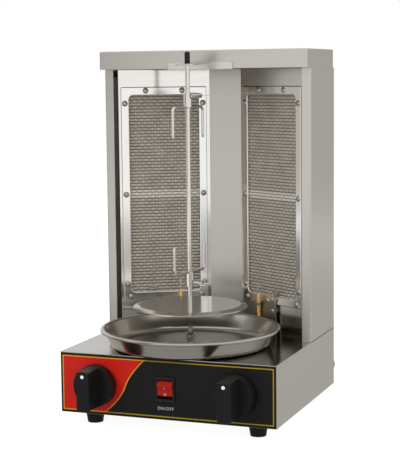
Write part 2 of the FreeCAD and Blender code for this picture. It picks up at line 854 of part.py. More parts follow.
def wing_holes(name):
    """Shank holes of one burner's ten screws, drawn along X behind the mirror face."""
    return group(name, *[
        cylinder(f"{name}_{n}", "screw_shank", "4 * screw_length",
                 (f"burner_middle + ({x})", "-2 * screw_length", f"{burner_z} + ({z})"), "y")
        for n, (x, z) in enumerate(burner_screw_spots())])


def reflector_panel():
    bend = "tan(wing_angle / 2)"
    inner_run = f"({wing_run} - sheet * (1 + sin(wing_angle)))"
    inner_end = f"({centre_face} - {inner_run} * tan(wing_angle) + sheet * cos(wing_angle))"
    half = [
        ("reflector_centre", centre_face), (wing_tip_x, wing_end),
        (wing_tip_x, f"{wing_end} + reflector_lip"),
        (f"{wing_tip_x} - sheet", f"{wing_end} + reflector_lip"),
        (f"{wing_tip_x} - sheet", inner_end),
        (f"reflector_centre + sheet * {bend}", f"{centre_face} + sheet")]
    twin = [(f"-({x})", y) for x, y in reversed(half)]
    body = doc.addObject("PartDesign::Body", "reflector_folded")
    pad(body, sketch(body, "reflector_plan", "XY_Plane", half + twin), "wall_height - gap")
    place(body, "0", "0", deck)
    window = box(
        "window_tool", ("burner_middle - window_width / 2", "burner_middle + window_width / 2"),
        ("-5 * sheet", "5 * sheet"),
        (f"{burner_z} - {window_height} / 2", f"{burner_z} + {window_height} / 2"))
    bracket_hole = cylinder("bracket_hole", "screw_shank", "10 * sheet",
                            (bracket_screw[0], "-5 * sheet", bracket_screw[1]), "y")
    tools = on_wing(group("wing_tools", window, wing_holes("reflector_holes"), bracket_hole))
    gap_holes = [
        cylinder(f"gap_hole_{n}", "screw_shank / 2", "10 * sheet", at, "x")
        for n, at in enumerate(gap_screw_spots(f"{wing_tip_x} - 5 * sheet"))]
    right = group("right_tools", tools, *gap_holes)
    keep(cut("reflector_panel", body, right, mirror("left_tools", right)), "reflector_panel")


def gap_screw_spots(x):
    """Three screws that hold each side of the reflector to its bracket."""
    middle = f"{wing_end} + reflector_lip / 2"
    return [
        (x, middle, f"{deck} + {rise}")
        for rise in ("gap_screw_low", "gap_screw_middle", "(wall_height - gap_screw_top)")]


def wall_bracket():
    body = doc.addObject("PartDesign::Body", "wall_bracket_body")
    leg = f"({wing_tip_x} - sheet)"
    back = f"({wing_end} + reflector_lip + gap)"
    plan = [
        (f"{leg} - sheet", f"{back} - reflector_lip + bracket_lap"),
        (leg, f"{back} - reflector_lip + bracket_lap"),
        (leg, back), (wall_inside, back), (wall_inside, f"{back} + reflector_lip"),
        (f"{wall_inside} - sheet", f"{back} + reflector_lip"),
        (f"{wall_inside} - sheet", f"{back} + sheet"), (f"{leg} - sheet", f"{back} + sheet")]
    pad(body, sketch(body, "bracket_plan", "XY_Plane", plan), "wall_height - 2 * bracket_margin")
    place(body, "0", "0", f"{deck} + bracket_margin")
    holes = [
        cylinder(f"bracket_hole_{n}", "screw_shank / 2", "10 * sheet", at, "x")
        for n, at in enumerate(gap_screw_spots(f"{wing_tip_x} - 5 * sheet"))]
    both_sides(cut("wall_bracket", body, *holes), "wall_bracket")


def burner_frame():
    body = doc.addObject("PartDesign::Body", "frame_body")
    half = "frame_width / 2"
    rise = f"{frame_height} / 2"
    plate = rectangle((f"-{half}", half), (f"-{rise}", rise))
    pad(body, sketch(body, "frame_outline", "XZ_Plane", plate), "frame_thickness")
    upright = Vector(0, 1, 0)
    soften(body, "frame_corners", "frame_corner", lambda edge: runs_along(edge, upright))
    window_half = "window_width / 2"
    window_rise = f"{window_height} / 2"
    window = rectangle((f"-{window_half}", window_half), (f"-{window_rise}", window_rise))
    pocket(body, sketch(body, "frame_window", "XZ_Plane", window))
    soften(body, "window_corners", "window_corner",
           lambda edge: runs_along(edge, upright) and abs(edge.CenterOfMass.x) < value(window_half) + 0.01
           and abs(edge.CenterOfMass.z) < value(window_rise) + 0.01)
    holes = [(x, z, "screw_shank") for x, z in burner_screw_spots()]
    pocket(body, sketch(body, "frame_screws", "XZ_Plane", circles=holes))
    face = value("-frame_thickness")
    soften(body, "window_rim", "window_rounding",
           lambda edge: on_face(edge, face) and within(edge, window_half, window_rise))
    soften(body, "frame_rim", "frame_rounding",
           lambda edge: on_face(edge, face) and not within(edge, f"{half} - frame_corner", f"{rise} - frame_corner"))
    stand(body, "0")
    both_sides(body, "burner_frame")


def on_face(edge, y):
    return edge.BoundBox.YMax < y + 0.01


def within(edge, half, rise):
    """True for an edge of the window, and of no screw hole, in the frame's own plane."""
    box = edge.BoundBox
    return max(-box.XMin, box.XMax) < value(half) + 0.01 and max(-box.ZMin, box.ZMax) < value(rise) + 0.01


def stand(thing, depth):
    """Centre a piece on the right-hand burner, its own Y = 0 lying at the depth given."""
    thing.Placement = FreeCAD.Placement(Vector(), Rotation(Vector(0, 0, -1), 1))
    thing.setExpression("Placement.Rotation.Angle", link("wing_angle"))
    return place(
        thing,
        f"reflector_centre + burner_middle * cos(wing_angle) + ({depth}) * sin(wing_angle)",
        f"{centre_face} - burner_middle * sin(wing_angle) + ({depth}) * cos(wing_angle)",
        burner_z)


def burner_mesh():
    """Woven net as one holed sheet, its rows laid like bricks."""
    width = value("window_width")
    height = value(window_height)
    edge = value("net_overlap")
    wire = value("net_wire")
    columns = int(value("net_columns"))
    rows = int(value("net_rows"))
    across = width / columns
    up = height / rows
    rim = Part.makePlane(width + 2 * edge, height + 2 * edge, Vector(-width / 2 - edge, -height / 2 - edge, 0))
    gaps = []
    for line in range(rows):
        shift = across / 2 * (line % 2)
        low = -height / 2 + up * line + wire / 2
        for column in range(columns - line % 2):
            left = -width / 2 + across * column + shift + wire / 2
            corner = [(left, low), (left + across - wire, low),
                      (left + across - wire, low + up - wire), (left, low + up - wire)]
            gaps.append(Part.makePolygon([Vector(x, y, 0) for x, y in corner + corner[:1]]))
    holed = Part.Face([rim.OuterWire] + gaps)
    holed.rotate(Vector(), Vector(1, 0, 0), 90)
    holed.validate()
    net = feature("net", holed.extrude(Vector(0, -value("net_thickness"), 0)))
    stand(net, net_back)
    both_sides(net, "burner_mesh")


def ceramic_plaques():
    """Two perforated plaques, one above the other."""
    bricks = [
        box(f"plaque_{n}", ("-plaque_width / 2", "plaque_width / 2"), ("0", "plaque_thickness"), (low, high))
        for n, (low, high) in enumerate((
            (f"-{plaque_height}", "-plaque_joint / 2"), ("plaque_joint / 2", plaque_height)))]
    both_sides(stand(group("plaques", *bricks), plaque_front), "ceramic_plaques")


def burner_tray():
    def layer(name, half, rise, y):
        return box(name, (f"-({half})", half), y, (f"-({rise})", rise))
    outside = fuse(
        "tray_outside",
        layer("tray_flange", "screw_side_pitch / 2 + tray_screw_edge", f"{frame_height} / 2",
              (net_back, f"{net_back} + tray_wall")),
        layer("tray_shelf", tray_half, tray_rise, (net_back, shelf_back)),
        layer("tray_plenum", plenum_half, plenum_rise, (net_back, plenum_back)))
    rooms = [
        layer("plaque_room", f"{tray_half} - tray_wall", f"{tray_rise} - tray_wall",
              (f"{net_back} - sheet", plaque_back)),
        layer("plenum_room", f"{plenum_half} - tray_wall", f"{plenum_rise} - tray_wall",
              (f"{net_back} - sheet", f"{plenum_back} - tray_wall"))]
    throat = cylinder("tube_throat", "tube_radius - tube_wall", "4 * tray_wall",
                      ("0", tube_in, f"-({plenum_rise}) - tray_wall"))
    holes = [
        cylinder(f"tray_hole_{n}", "screw_shank", "2 * screw_length", (x, "-sheet", z), "y")
        for n, (x, z) in enumerate(burner_screw_spots())]
    tray = cut("tray", outside, *rooms, throat, *holes)
    both_sides(stand(tray, "0"), "burner_tray")


def mixing_tube():
    """Brings gas and air up to the tray: open air windows near its foot."""
    length = f"{tube_top} - {tube_foot}"
    tube = cylinder("tube_wall_body", "tube_radius", length, (tube_x, tube_y, tube_foot))
    bore = cylinder("tube_bore", "tube_radius - tube_wall", length, (tube_x, tube_y, f"{tube_foot} + tube_wall"))
    seat = cylinder("jet_seat", "jet_radius", "4 * tube_wall", (tube_x, tube_y, f"{tube_foot} - 2 * tube_wall"))
    wide = "2 * tube_radius"
    narrow = "air_window_width / 2"
    rise = f"({tube_foot} + air_window_rise)"
    windows = [
        box(f"air_window_{n}", (f"{tube_x} - {x}", f"{tube_x} + {x}"), (f"{tube_y} - {y}", f"{tube_y} + {y}"),
            (rise, f"{rise} + air_window_height"))
        for n, (x, y) in enumerate(((wide, narrow), (narrow, wide)))]
    both_sides(cut("tube", tube, bore, seat, *windows), "mixing_tube")


def gas_jets():
    barrel = fuse(
        "jet_solid",
        cylinder("jet_barrel", "jet_radius", "jet_height", (tube_x, tube_y, tube_foot)),
        hexagon("jet_nut", "2.8 * jet_radius", "jet_nut_height",
                (tube_x, tube_y, f"{tube_foot} - jet_nut_height")))
    drill = cylinder("jet_drill", "jet_hole_radius", "3 * jet_height",
                     (tube_x, tube_y, f"{tube_foot} - jet_height"))
    seat = cylinder("jet_bore", "jet_radius / 2", "jet_nut_height + jet_height - jet_radius / 2",
                    (tube_x, tube_y, f"{tube_foot} - jet_nut_height"))
    jet = cut("jet", barrel, drill, seat)
    keep(group("gas_jets", jet, mirror("left_jet", jet)), "gas_jets")


def igniter():
    foot = f"({deck} + igniter_foot)"
    top = f"({deck} + igniter_top)"
    tip = f"({deck} + igniter_tip)"
    x, y = "igniter_along", "-igniter_offset"
    rod = cone("igniter_shaft", "igniter_radius", "igniter_radius", f"{top} - {foot}", (x, y, foot))
    nose = cone("igniter_nose", "igniter_radius", "igniter_radius / 2", "igniter_nose", (x, y, top))
    pin_hole = cylinder("pin_hole", "igniter_pin_radius", "2 * igniter_top", (x, y, deck))
    insulator = on_wing(cut("insulator", fuse("insulator_solid", rod, nose), pin_hole))
    keep(group("igniter_insulators", insulator, mirror("left_insulator", insulator)), "igniter_insulators")
    pin_solid = cylinder("pin", "igniter_pin_radius", f"{tip} - {foot} + igniter_pin_foot",
                         (x, y, f"{foot} - igniter_pin_foot"))
    pin = on_wing(group("pin_place", pin_solid))
    keep(group("igniter_pins", pin, mirror("left_pin", pin)), "igniter_pins")
    plate = doc.addObject("PartDesign::Body", "igniter_plate")
    outline = rectangle(
        ("igniter_along - bracket_before", "igniter_along + bracket_after"), (deck, f"{deck} + bracket_rise"))
    pad(plate, sketch(plate, "igniter_plate_outline", "XZ_Plane", outline), "sheet")
    soften(plate, "igniter_plate_corner", "bracket_rounding",
           lambda edge: runs_along(edge, Vector(0, 1, 0)) and edge.CenterOfMass.x > value("igniter_along")
           and edge.CenterOfMass.z > value(f"{deck} + bracket_rise") - 0.01)
    place(plate, "0", "-bracket_offset", "0")
    collar = cylinder("igniter_collar", "igniter_offset - bracket_offset - sheet / 2", "collar_height",
                      (x, y, f"{foot} + collar_rise"))
    along, rise = bracket_screw
    boss = cylinder("bracket_boss", "screw_head", "bracket_offset", (along, "-bracket_offset", rise), "y")
    hole = cylinder("bracket_bore", "screw_shank", "3 * bracket_offset", (along, "-2 * bracket_offset", rise), "y")
    socket = cylinder("collar_bore", "igniter_radius", "3 * collar_height",
                      (x, y, f"{foot} + collar_rise - collar_height"))
    bracket = on_wing(cut("bracket", fuse("bracket_solid", plate, collar, boss), hole, socket))
    keep(group("igniter_brackets", bracket, mirror("left_bracket", bracket)), "igniter_brackets")


# Gas train

def gas_rail():
    """Cross pipe that feeds both valves, with the supply pipe brazed to its right end."""
    corners = [
        spot("rail_half - 2 * pipe_wall", rail_y, knob_z), spot("inlet_spread", rail_y, knob_z),
        spot("inlet_spread", f"{rear} - supply_turn_in", knob_z),
        spot("inlet_spread", f"{rear} - supply_turn_out", inlet_z),
        spot("inlet_spread", f"{rear} - supply_end", inlet_z)]
    bend = value("supply_radius * 1.3")
    outer = swept(corners, value("supply_radius"), bend)
    inner = swept(corners, value("supply_radius - pipe_wall"), bend)
    length = value("2 * rail_half")
    along = Vector(1, 0, 0)
    rail_start = spot("-rail_half", rail_y, knob_z)
    rail = Part.makeCylinder(value("rail_radius"), length, rail_start, along)
    wall = value("pipe_wall")
    bore = Part.makeCylinder(value("rail_radius") - wall, length - 2 * wall, rail_start + along * wall, along)
    shape = rail.fuse(outer).cut(bore.fuse(inner))
    for x in ("-knob_spread", "knob_spread"):
        shape = shape.cut(Part.makeCylinder(
            value("pipe_radius - pipe_wall"), value("rail_radius"), spot(x, rail_y, knob_z), Vector(0, -1, 0)))
    keep(feature("gas_rail", shape.removeSplitter()), "gas_rail")


def gas_inlet():
    """Hose connection at the back: hexagon and male thread."""
    at = ("inlet_spread", f"{rear} - spigot_length", inlet_z)
    fitting = fuse(
        "inlet_solid",
        cylinder("inlet_spigot", "supply_radius + valve_wall", "2 * spigot_length", at, "y"),
        hexagon("inlet_nut", "inlet_hex", "inlet_nut", ("inlet_spread", rear, inlet_z), "y"),
        cylinder("inlet_thread", "inlet_thread_radius", "inlet_reach", ("inlet_spread", rear, inlet_z), "y"))
    socket = cylinder("inlet_socket", "supply_radius + running_gap", "spigot_length - supply_end", at, "y")
    bore = cylinder("inlet_bore", "supply_radius - pipe_wall", "2 * inlet_reach", at, "y")
    keep(cut("gas_inlet", fitting, socket, bore), "gas_inlet")


def gas_valve():
    """Valve body with its plug, its stem and the seat of the pipe to the jet."""
    x = "knob_spread"
    half = "valve_width / 2"
    body_front = f"({valve_back} + valve_collar)"
    body_back = f"({body_front} + valve_depth)"
    chamber = f"({body_front} + valve_wall)"
    port = "pipe_radius - pipe_wall"
    throat = f"({body_back} - 2 * valve_wall)"
    block = fuse(
        "valve_block",
        box("valve_body", (f"{x} - {half}", f"{x} + {half}"), (body_front, body_back),
            (f"{knob_z} - {half}", f"{knob_z} + {half}")),
        cylinder("valve_collar", "stem_radius + 2 * valve_wall", "valve_collar", (x, valve_back, knob_z), "y"),
        cylinder("valve_inlet", "rail_radius - valve_wall / 2", f"{rail_y} - {throat}", (x, throat, knob_z), "y"),
        cylinder("valve_outlet", "pipe_radius + valve_wall", "valve_collar", (x, outlet_y, outlet_z)))
    tools = [
        cylinder("valve_rail", "rail_radius", "4 * valve_width", (f"{x} - 2 * valve_width", rail_y, knob_z), "x"),
        cylinder("valve_stem_bore", "stem_radius + running_gap", f"{chamber} - {valve_back} + 2 * sheet",
                 (x, f"{valve_back} - sheet", knob_z), "y"),
        cylinder("valve_chamber", "plug_radius", "plug_length + 2 * plug_gap", (x, chamber, knob_z), "y"),
        cylinder("valve_feed", port, "rail_setback", (x, outlet_y, knob_z), "y"),
        cylinder("valve_port", port, f"{knob_z} - {outlet_z} + sheet", (x, outlet_y, f"{outlet_z} - sheet")),
        cylinder("valve_seat", "pipe_radius + running_gap", "valve_seat_depth + sheet / 2",
                 (x, outlet_y, f"{outlet_z} - sheet / 2"))]
    both_sides(cut("valve", block, *tools), "gas_valve")
    bore_end = f"({valve_back} + stem_inside + knob_press + sheet)"
    plug = cut(
        "plug",
        cylinder("plug_solid", "plug_radius - running_gap", "plug_length",
                 (x, f"{chamber} + plug_gap", knob_z), "y"),
        cylinder("plug_bore", "stem_radius + running_gap / 2", f"{bore_end} - {chamber} + sheet",
                 (x, f"{chamber} - sheet", knob_z), "y"),
        cylinder("plug_feed", port, "plug_length", (x, f"{outlet_y} - valve_wall", knob_z), "y"),
        cylinder("plug_port", "plug_port_radius", "2 * plug_radius", (x, outlet_y, knob_z)))
    both_sides(plug, "valve_plug")
    stem_front = f"({front} - knob_reach + knob_front_wall)"
    stem_end = f"({valve_back} + stem_inside)"
    stem = cylinder("stem", "stem_radius", f"{stem_end} - {stem_front}", (x, stem_front, knob_z), "y")
    both_sides(stem, "valve_stem")


def burner_pipe():
    low = "(foot_height + pipe_rise)"
    corners = [
        spot("knob_spread", outlet_y, f"{outlet_z} + valve_seat_depth"),
        spot("knob_spread", outlet_y, low), spot(tube_x, tube_y, low),
        spot(tube_x, tube_y, f"{tube_foot} - jet_nut_height")]
    bend = value("2 * pipe_radius")
    outer = swept(corners, value("pipe_radius"), bend)
    inner = swept(corners, value("pipe_radius - pipe_wall"), bend)
    both_sides(feature("pipe", outer.cut(inner)), "burner_pipe")


def knob():
    x = "knob_spread"
    back = f"({front} - {knob_gap})"
    skirt_front = f"({back} - knob_skirt)"
    tip = f"({front} - knob_reach)"
    narrow = "knob_radius - knob_draft"
    skirt = cone("knob_skirt_body", "knob_radius", narrow, "knob_skirt", (x, back, knob_z), "-y")
    bar = box("knob_bar", (f"{x} - grip_width / 2", f"{x} + grip_width / 2"), (tip, skirt_front),
              (f"{knob_z} - knob_radius", f"{knob_z} + knob_radius"))
    ends = cone("knob_bar_ends", narrow, "grip_end", f"{skirt_front} - {tip}", (x, skirt_front, knob_z), "-y")
    grip = doc.addObject("Part::MultiCommon", "knob_grip")
    grip.Shapes = [bar, ends]
    bore = cylinder("knob_bore", "stem_radius", "knob_reach", (x, f"{tip} + knob_front_wall", knob_z), "y")
    blank = cut("knob_blank", fuse("knob_solid", skirt, grip), bore)
    both_sides(rounded("knob_rounded", blank, "knob_rounding", lambda edge: on_face(edge, value(tip))), "knob")


# Switch

def power_switch():
    pivot = f"({front} + rocker_pivot_depth)"
    face = f"({front} - switch_bezel)"
    back = f"({front} + switch_depth)"
    cavity = "(rocker_half + rocker_swing_gap)"
    body_x = "(switch_width / 2 - switch_lap_x - snap_gap)"
    body_z = "(switch_height / 2 - switch_lap_z - snap_gap)"
    blades = [
        box(f"blade_{n}", ("-blade_half", "blade_half"), (back, f"{back} + blade_length"),
            (f"{knob_z} + ({shift}) - blade_thickness / 2", f"{knob_z} + ({shift}) + blade_thickness / 2"))
        for n, shift in enumerate(("-blade_pitch", "0", "blade_pitch"))]
    shell = fuse(
        "switch_shell",
        box("switch_face", ("-switch_width / 2", "switch_width / 2"), (face, front),
            (f"{knob_z} - switch_height / 2", f"{knob_z} + switch_height / 2")),
        box("switch_body", (f"-{body_x}", body_x), (face, back), (f"{knob_z} - {body_z}", f"{knob_z} + {body_z}")),
        *blades)
    room = box("switch_room", ("-rocker_width / 2 - gap", "rocker_width / 2 + gap"),
               (f"{face} - sheet", f"{front} + switch_room"), (f"{knob_z} - {cavity}", f"{knob_z} + {cavity}"))
    pin_room = cylinder("rocker_pin_room", "rocker_pin_radius + running_gap / 2",
                        "rocker_width + 2 * (rocker_pin_length + snap_gap)",
                        ("-rocker_width / 2 - rocker_pin_length - snap_gap", pivot, knob_z), "x")
    keep(cut("switch_housing", shell, room, pin_room), "switch_housing")
    body = doc.addObject("PartDesign::Body", "rocker")
    half = "rocker_half"
    profile = [
        ("-rocker_edge", half), ("-rocker_ridge", f"{half} - rocker_bevel"), ("-rocker_dip", "0"),
        ("-rocker_ridge", f"-{half} + rocker_bevel"), ("-rocker_edge", f"-{half}"),
        ("rocker_shoulder", f"-{half} + rocker_taper"), ("rocker_back", "-rocker_heel"),
        ("rocker_back", "rocker_heel"), ("rocker_shoulder", f"{half} - rocker_taper")]
    pad(body, sketch(body, "rocker_side", "YZ_Plane", profile), "rocker_width", True)
    soften(body, "rocker_ridges", "rocker_rounding",
           lambda edge: runs_along(edge, Vector(1, 0, 0)) and on_face(edge, value("-rocker_ridge")))
    pins = sketch(body, "rocker_pins", "YZ_Plane", circles=[("0", "0", "rocker_pin_radius")])
    pad(body, pins, "rocker_width + 2 * rocker_pin_length", True)
    body.Placement = FreeCAD.Placement(Vector(), Rotation(Vector(1, 0, 0), 1))
    body.setExpression("Placement.Rotation.Angle", link("rocker_tilt"))
    place(body, "0", pivot, knob_z)
    keep(body, "rocker")


# Drive and spit

def drive():
    axis = ("0", spit_y)
    lugs = [
        cylinder(f"motor_lug_{n}", "motor_lug_radius", "motor_drop - sheet + motor_lug_height",
                 (f"{sign}{lug_x}", spit_y, f"{gearbox_top} - motor_lug_height"))
        for n, sign in enumerate(("-", ""))]
    motor = fuse(
        "motor_solid",
        cylinder("gearbox", "motor_radius", "gearbox_height", (*axis, f"{gearbox_top} - gearbox_height")),
        cylinder("motor_can", "motor_can_radius", "motor_height", (*axis, f"{gearbox_top} - motor_height")),
        cylinder("motor_boss", "motor_boss_radius", "motor_boss_height", (*axis, gearbox_top)), *lugs)
    shaft_bore = "shaft_radius + running_gap"
    bore = cylinder("motor_bore", shaft_bore, "shaft_inside + 2 * motor_boss_height",
                    (*axis, f"{gearbox_top} - shaft_inside"))
    screw_bores = []
    for n, sign in enumerate(("-", "")):
        x = f"{sign}{lug_x}"
        screw_bores += [
            cylinder(f"lug_bore_{n}", "screw_shank", "motor_screw_length",
                     (x, spit_y, f"{deck} - motor_screw_length")),
            cone(f"lug_mouth_{n}", "screw_shank", "screw_head", "screw_head - screw_shank",
                 (x, spit_y, f"{deck} - (screw_head - screw_shank)"))]
    keep(cut("gear_motor", motor, bore, *screw_bores), "gear_motor")
    bush_foot = f"({deck} - sheet - bush_flange_height)"
    bush = fuse(
        "bush_solid",
        cylinder("bush_sleeve", "bush_radius", f"{deck} + bush_rise - {bush_foot}", (*axis, bush_foot)),
        cylinder("bush_flange", "bush_radius + bush_flange", "bush_flange_height", (*axis, bush_foot)))
    bush_bore = cylinder("bush_bore", shaft_bore, f"{deck} + 2 * bush_rise - {bush_foot}",
                         (*axis, f"{bush_foot} - sheet"))
    keep(cut("shaft_bush", bush, bush_bore), "shaft_bush")
    shaft_foot = f"({gearbox_top} - shaft_inside + gap)"
    shaft = cylinder("motor_shaft", "shaft_radius", f"{socket_step} - {shaft_foot}", (*axis, shaft_foot))
    keep(shaft, "motor_shaft")
    flare_foot = f"({socket_foot} + socket_height - socket_flare_height)"
    screw_at = ("0", f"{spit_y} - socket_radius + socket_screw_seat", f"{socket_step} + socket_screw_rise")
    socket = fuse(
        "socket_solid",
        cylinder("socket_barrel", "socket_radius", "socket_height", (*axis, socket_foot)),
        cylinder("socket_flange", "socket_radius + socket_flange", "socket_flange_height", (*axis, socket_foot)),
        cone("socket_flare", "socket_radius", "socket_radius + socket_flare", "socket_flare_height",
             (*axis, flare_foot)),
        cylinder("socket_screw", "socket_screw_radius", "socket_screw_length", screw_at, "-y"))
    tools = [
        cylinder("socket_low", "shaft_radius", "socket_height - socket_depth", (*axis, socket_foot)),
        cylinder("socket_high", "spit_radius + running_gap", "2 * socket_depth", (*axis, socket_step)),
        cone("socket_mouth", "spit_radius", "socket_radius + socket_flare - sheet / 2", "socket_flare_height",
             (*axis, flare_foot))]
    keep(cut("drive_socket", socket, *tools), "drive_socket")


def drip_pan():
    rim = "(pan_depth - pan_bead_radius)"
    hole = "(bush_radius + pan_hole_gap)"
    inside_foot = f"({pan_floor} - pan_sheet / 2)"
    inside = "(pan_wall_radius - pan_sheet)"
    outline = [
        (hole, "0"), (pan_floor, "0"), ("pan_wall_radius", rim), ("pan_wall_radius", "pan_depth"),
        (inside, "pan_depth"), (inside, f"{rim} + pan_sheet / 4"), (inside_foot, "pan_sheet"), (hole, "pan_sheet")]
    body = revolved("pan_bowl", outline)
    doc.recompute()
    soften(body, "pan_foot_outside", "pan_corner", lambda edge: is_ring(edge, pan_floor, "0"))
    soften(body, "pan_foot_inside", "pan_corner - pan_sheet",
           lambda edge: is_ring(edge, inside_foot, "pan_sheet"))
    place(body, "0", spit_y, f"{deck} + gap")
    bead = doc.addObject("Part::Torus", "pan_bead")
    bead.setExpression("Radius1", link("pan_wall_radius + pan_bead_radius - pan_bead_lap"))
    bead.setExpression("Radius2", link("pan_bead_radius"))
    place(bead, "0", spit_y, f"{deck} + gap + {rim}")
    keep(fuse("drip_pan", body, bead), "drip_pan")


def is_ring(edge, radius, height):
    if edge.Curve.TypeId != "Part::GeomCircle":
        return False
    return abs(edge.Curve.Radius - value(radius)) < 0.01 and abs(edge.CenterOfMass.z - value(height)) < 0.01


def meat_disc():
    """Round plate that carries the meat, welded to a hub on the spit."""
    top = "disc_rise"
    under = f"{top} - disc_sheet"
    hub_foot = f"{top} - disc_hub_height"
    bore = "spit_radius"
    outline = [
        (bore, hub_foot), ("disc_hub_radius", hub_foot), ("disc_hub_radius", under), ("disc_flat_radius", under),
        ("disc_radius", f"{under} - disc_bevel"), ("disc_radius", f"{top} - disc_bevel"),
        ("disc_flat_radius", top), (bore, top)]
    body = revolved("meat_disc", outline)
    place(body, "0", spit_y, deck)
    keep(body, "meat_disc")


def spit():
    foot = f"({socket_step} + gap)"
    top = f"({wall_top} + spit_above)"
    keep(cylinder("spit_rod", "spit_radius", f"{top} - {foot}", ("0", spit_y, foot)), "spit_rod")
    tongue_top = f"({wall_top} + guide_height - tongue_fall * (roof_setback - spit_setback) / tongue_reach)"
    cap_foot = f"({tongue_top} + gap)"
    body = revolved("cap", [("0", "0"), ("cap_radius", "0"), ("cap_radius", "cap_height"), ("0", "cap_height")])
    soften(body, "cap_crown", "cap_rounding", lambda edge: is_ring(edge, "cap_radius", "cap_height"))
    place(body, "0", spit_y, cap_foot)
    bore = cylinder("cap_bore", "spit_radius", f"{top} - {cap_foot} + sheet", ("0", spit_y, f"{cap_foot} - sheet"))
    keep(cut("spit_cap", body, bore), "spit_cap")


def fork(name, rise, points_up):
    """U of bent wire welded to a hub that slides on the spit."""
    wire = value("fork_wire")
    half = value("fork_half")
    length = value(name + "_length")
    way = 1 if points_up else -1
    turn = math.radians(value("fork_turn"))
    out = Vector(-math.sin(turn), -math.cos(turn), 0)
    middle = spot("0", spit_y, rise)
    up = Vector(0, 0, way)
    corners = [
        middle + out * half + up * length, middle + out * half,
        middle - out * half, middle - out * half + up * length]
    shape = swept(corners, wire, value("fork_bend"))
    for end in (corners[0], corners[3]):
        shape = shape.fuse(Part.makeCone(wire, value("prong_tip_radius"), value("prong_point"), end, up))
    height = value("hub_height")
    shape = shape.fuse(Part.makeCylinder(value("hub_radius"), height, middle, up * -1))
    bore = Part.makeCylinder(value("spit_radius + running_gap"), 4 * height, middle + up * 2 * height, up * -1)
    seat = middle - up * value("clamp_rise")
    thread = Part.makeCylinder(value("clamp_radius"), value("wing_reach"), seat, thumb_way())
    shape = shape.cut(bore).cut(thread).removeSplitter()
    keep(feature(name, shape), name)
    keep(feature(name + "_screw", thumb_screw(seat)), name + "_screw")


def thumb_way():
    """The direction in which both thumb screws point away from the spit."""
    turn = math.radians(value("fork_turn"))
    return Vector(math.cos(turn), -math.sin(turn), 0)


def thumb_screw(seat):
    """Wing screw that clamps a fork's hub: its wings lie level at rest."""
    reach = value("wing_reach")
    half = value("wing_half")
    thick = value("wing_thickness")
    along = Vector(1, 0, 0)
    start = value("spit_radius + running_gap + gap")
    neck = value("hub_radius + wing_neck")
    nut_end = value("wing_reach - wing_depth")
    shank = Part.makeCylinder(value("clamp_radius - running_gap"), nut_end - start, Vector(start, 0, 0), along)
    nut = Part.makeCone(
        value("nut_radius"), value("nut_front_radius"), nut_end - neck, Vector(neck, 0, 0), along)
    shape = shank.fuse(nut)
    root = value("hub_radius + wing_neck + sheet")
    tip = value("wing_tip")
    for sign in (1, -1):
        profile = [
            (root, 0), (nut_end - 1, sign), (reach - tip, sign * value("wing_knee")), (reach, sign * half),
            (reach - 2 * tip - 1, sign * half), (root, sign * value("wing_root"))]
        outline = [Vector(x, -thick / 2, z) for x, z in profile]
        wing = Part.Face(Part.makePolygon(outline + outline[:1])).extrude(Vector(0, thick, 0))
        shape = shape.fuse(wing)
    shape = shape.removeSplitter()
    shape.Placement = FreeCAD.Placement(seat, Rotation(along, thumb_way()) * Rotation(along, 90))
    return shape


# Fasteners and electrics

def burner_screws():
    head = value("screw_head")
    height = value("screw_head_height")
    shank = value("screw_shank")
    outward = Vector(0, -1, 0)
    screws = []
    for x, z in burner_screw_spots():
        at = spot(f"burner_middle + ({x})", "-frame_thickness", f"{burner_z} + ({z})")
        screws.append(screw(at, outward, head, height, shank, value("screw_length")))
    at = spot(bracket_screw[0], "-bracket_offset - sheet", bracket_screw[1])
    length = value("bracket_offset + 3 * sheet")
    screws.append(screw(at, outward, value("bracket_screw_head"), height, shank, length))
    stood = FreeCAD.Placement(
        spot("reflector_centre", centre_face, "0"), Rotation(Vector(0, 0, -1), value("wing_angle")))
    right = [one.transformGeometry(stood.toMatrix()) for one in screws]
    left = [one.mirror(Vector(), Vector(1, 0, 0)) for one in right]
    keep(feature("burner_screws", Part.makeCompound(right + left)), "burner_screws")


def body_screws():
    head = value("screw_head")
    height = value("screw_head_height")
    shank = value("screw_shank")
    small_head = value("gap_screw_head")
    small_height = value("gap_screw_height")
    down = Vector(0, 0, -1)
    screws = []
    for x, y, z in gap_screw_spots(wing_tip_x):
        for sign, heading in (("", Vector(1, 0, 0)), ("-", Vector(-1, 0, 0))):
            at = spot(f"{sign}({x})", y, z)
            screws.append(screw(at, heading, small_head, small_height, shank / 2, value("3 * sheet")))
    for x, y, z in back_screw_spots() + rear_screw_spots():
        at = spot(x, rear, z)
        screws.append(screw(at, Vector(0, 1, 0), head, height, shank, value("back_screw_length")))
    for x, y in foot_spots().values():
        at = spot(x, y, "foot_height / 2")
        length = value("foot_height / 2 + sheet + 2 * screw_shank")
        screws.append(screw(at, down, head, height, shank, length))
    for sign in ("-", ""):
        top = spot(f"{sign}{lug_x}", spit_y, deck)
        flush = Part.makeCone(head, shank, head - shank, top, down)
        screws.append(flush.fuse(Part.makeCylinder(shank, value("motor_screw_length - sheet"), top, down)))
    keep(feature("body_screws", Part.makeCompound(screws)), "body_screws")


def cord_gland():
    at = ("-gland_spread", rear, gland_z)
    gland = fuse(
        "gland_solid",
        cylinder("gland_thread", "cord_radius + gland_wall", "gland_inside + 2 * sheet",
                 ("-gland_spread", f"{rear} - gland_inside", gland_z), "y"),
        hexagon("gland_hex", "2 * cord_radius + 4 * gland_wall", "gland_hex_height", at, "y"),
        cone("gland_dome_body", "cord_radius + gland_dome", "cord_radius + gland_tip", "gland_reach", at, "y"))
    bore = cylinder("gland_bore", "cord_radius", "3 * gland_reach",
                    ("-gland_spread", f"{rear} - gland_reach", gland_z), "y")
    keep(cut("cord_gland", gland, bore), "cord_gland")


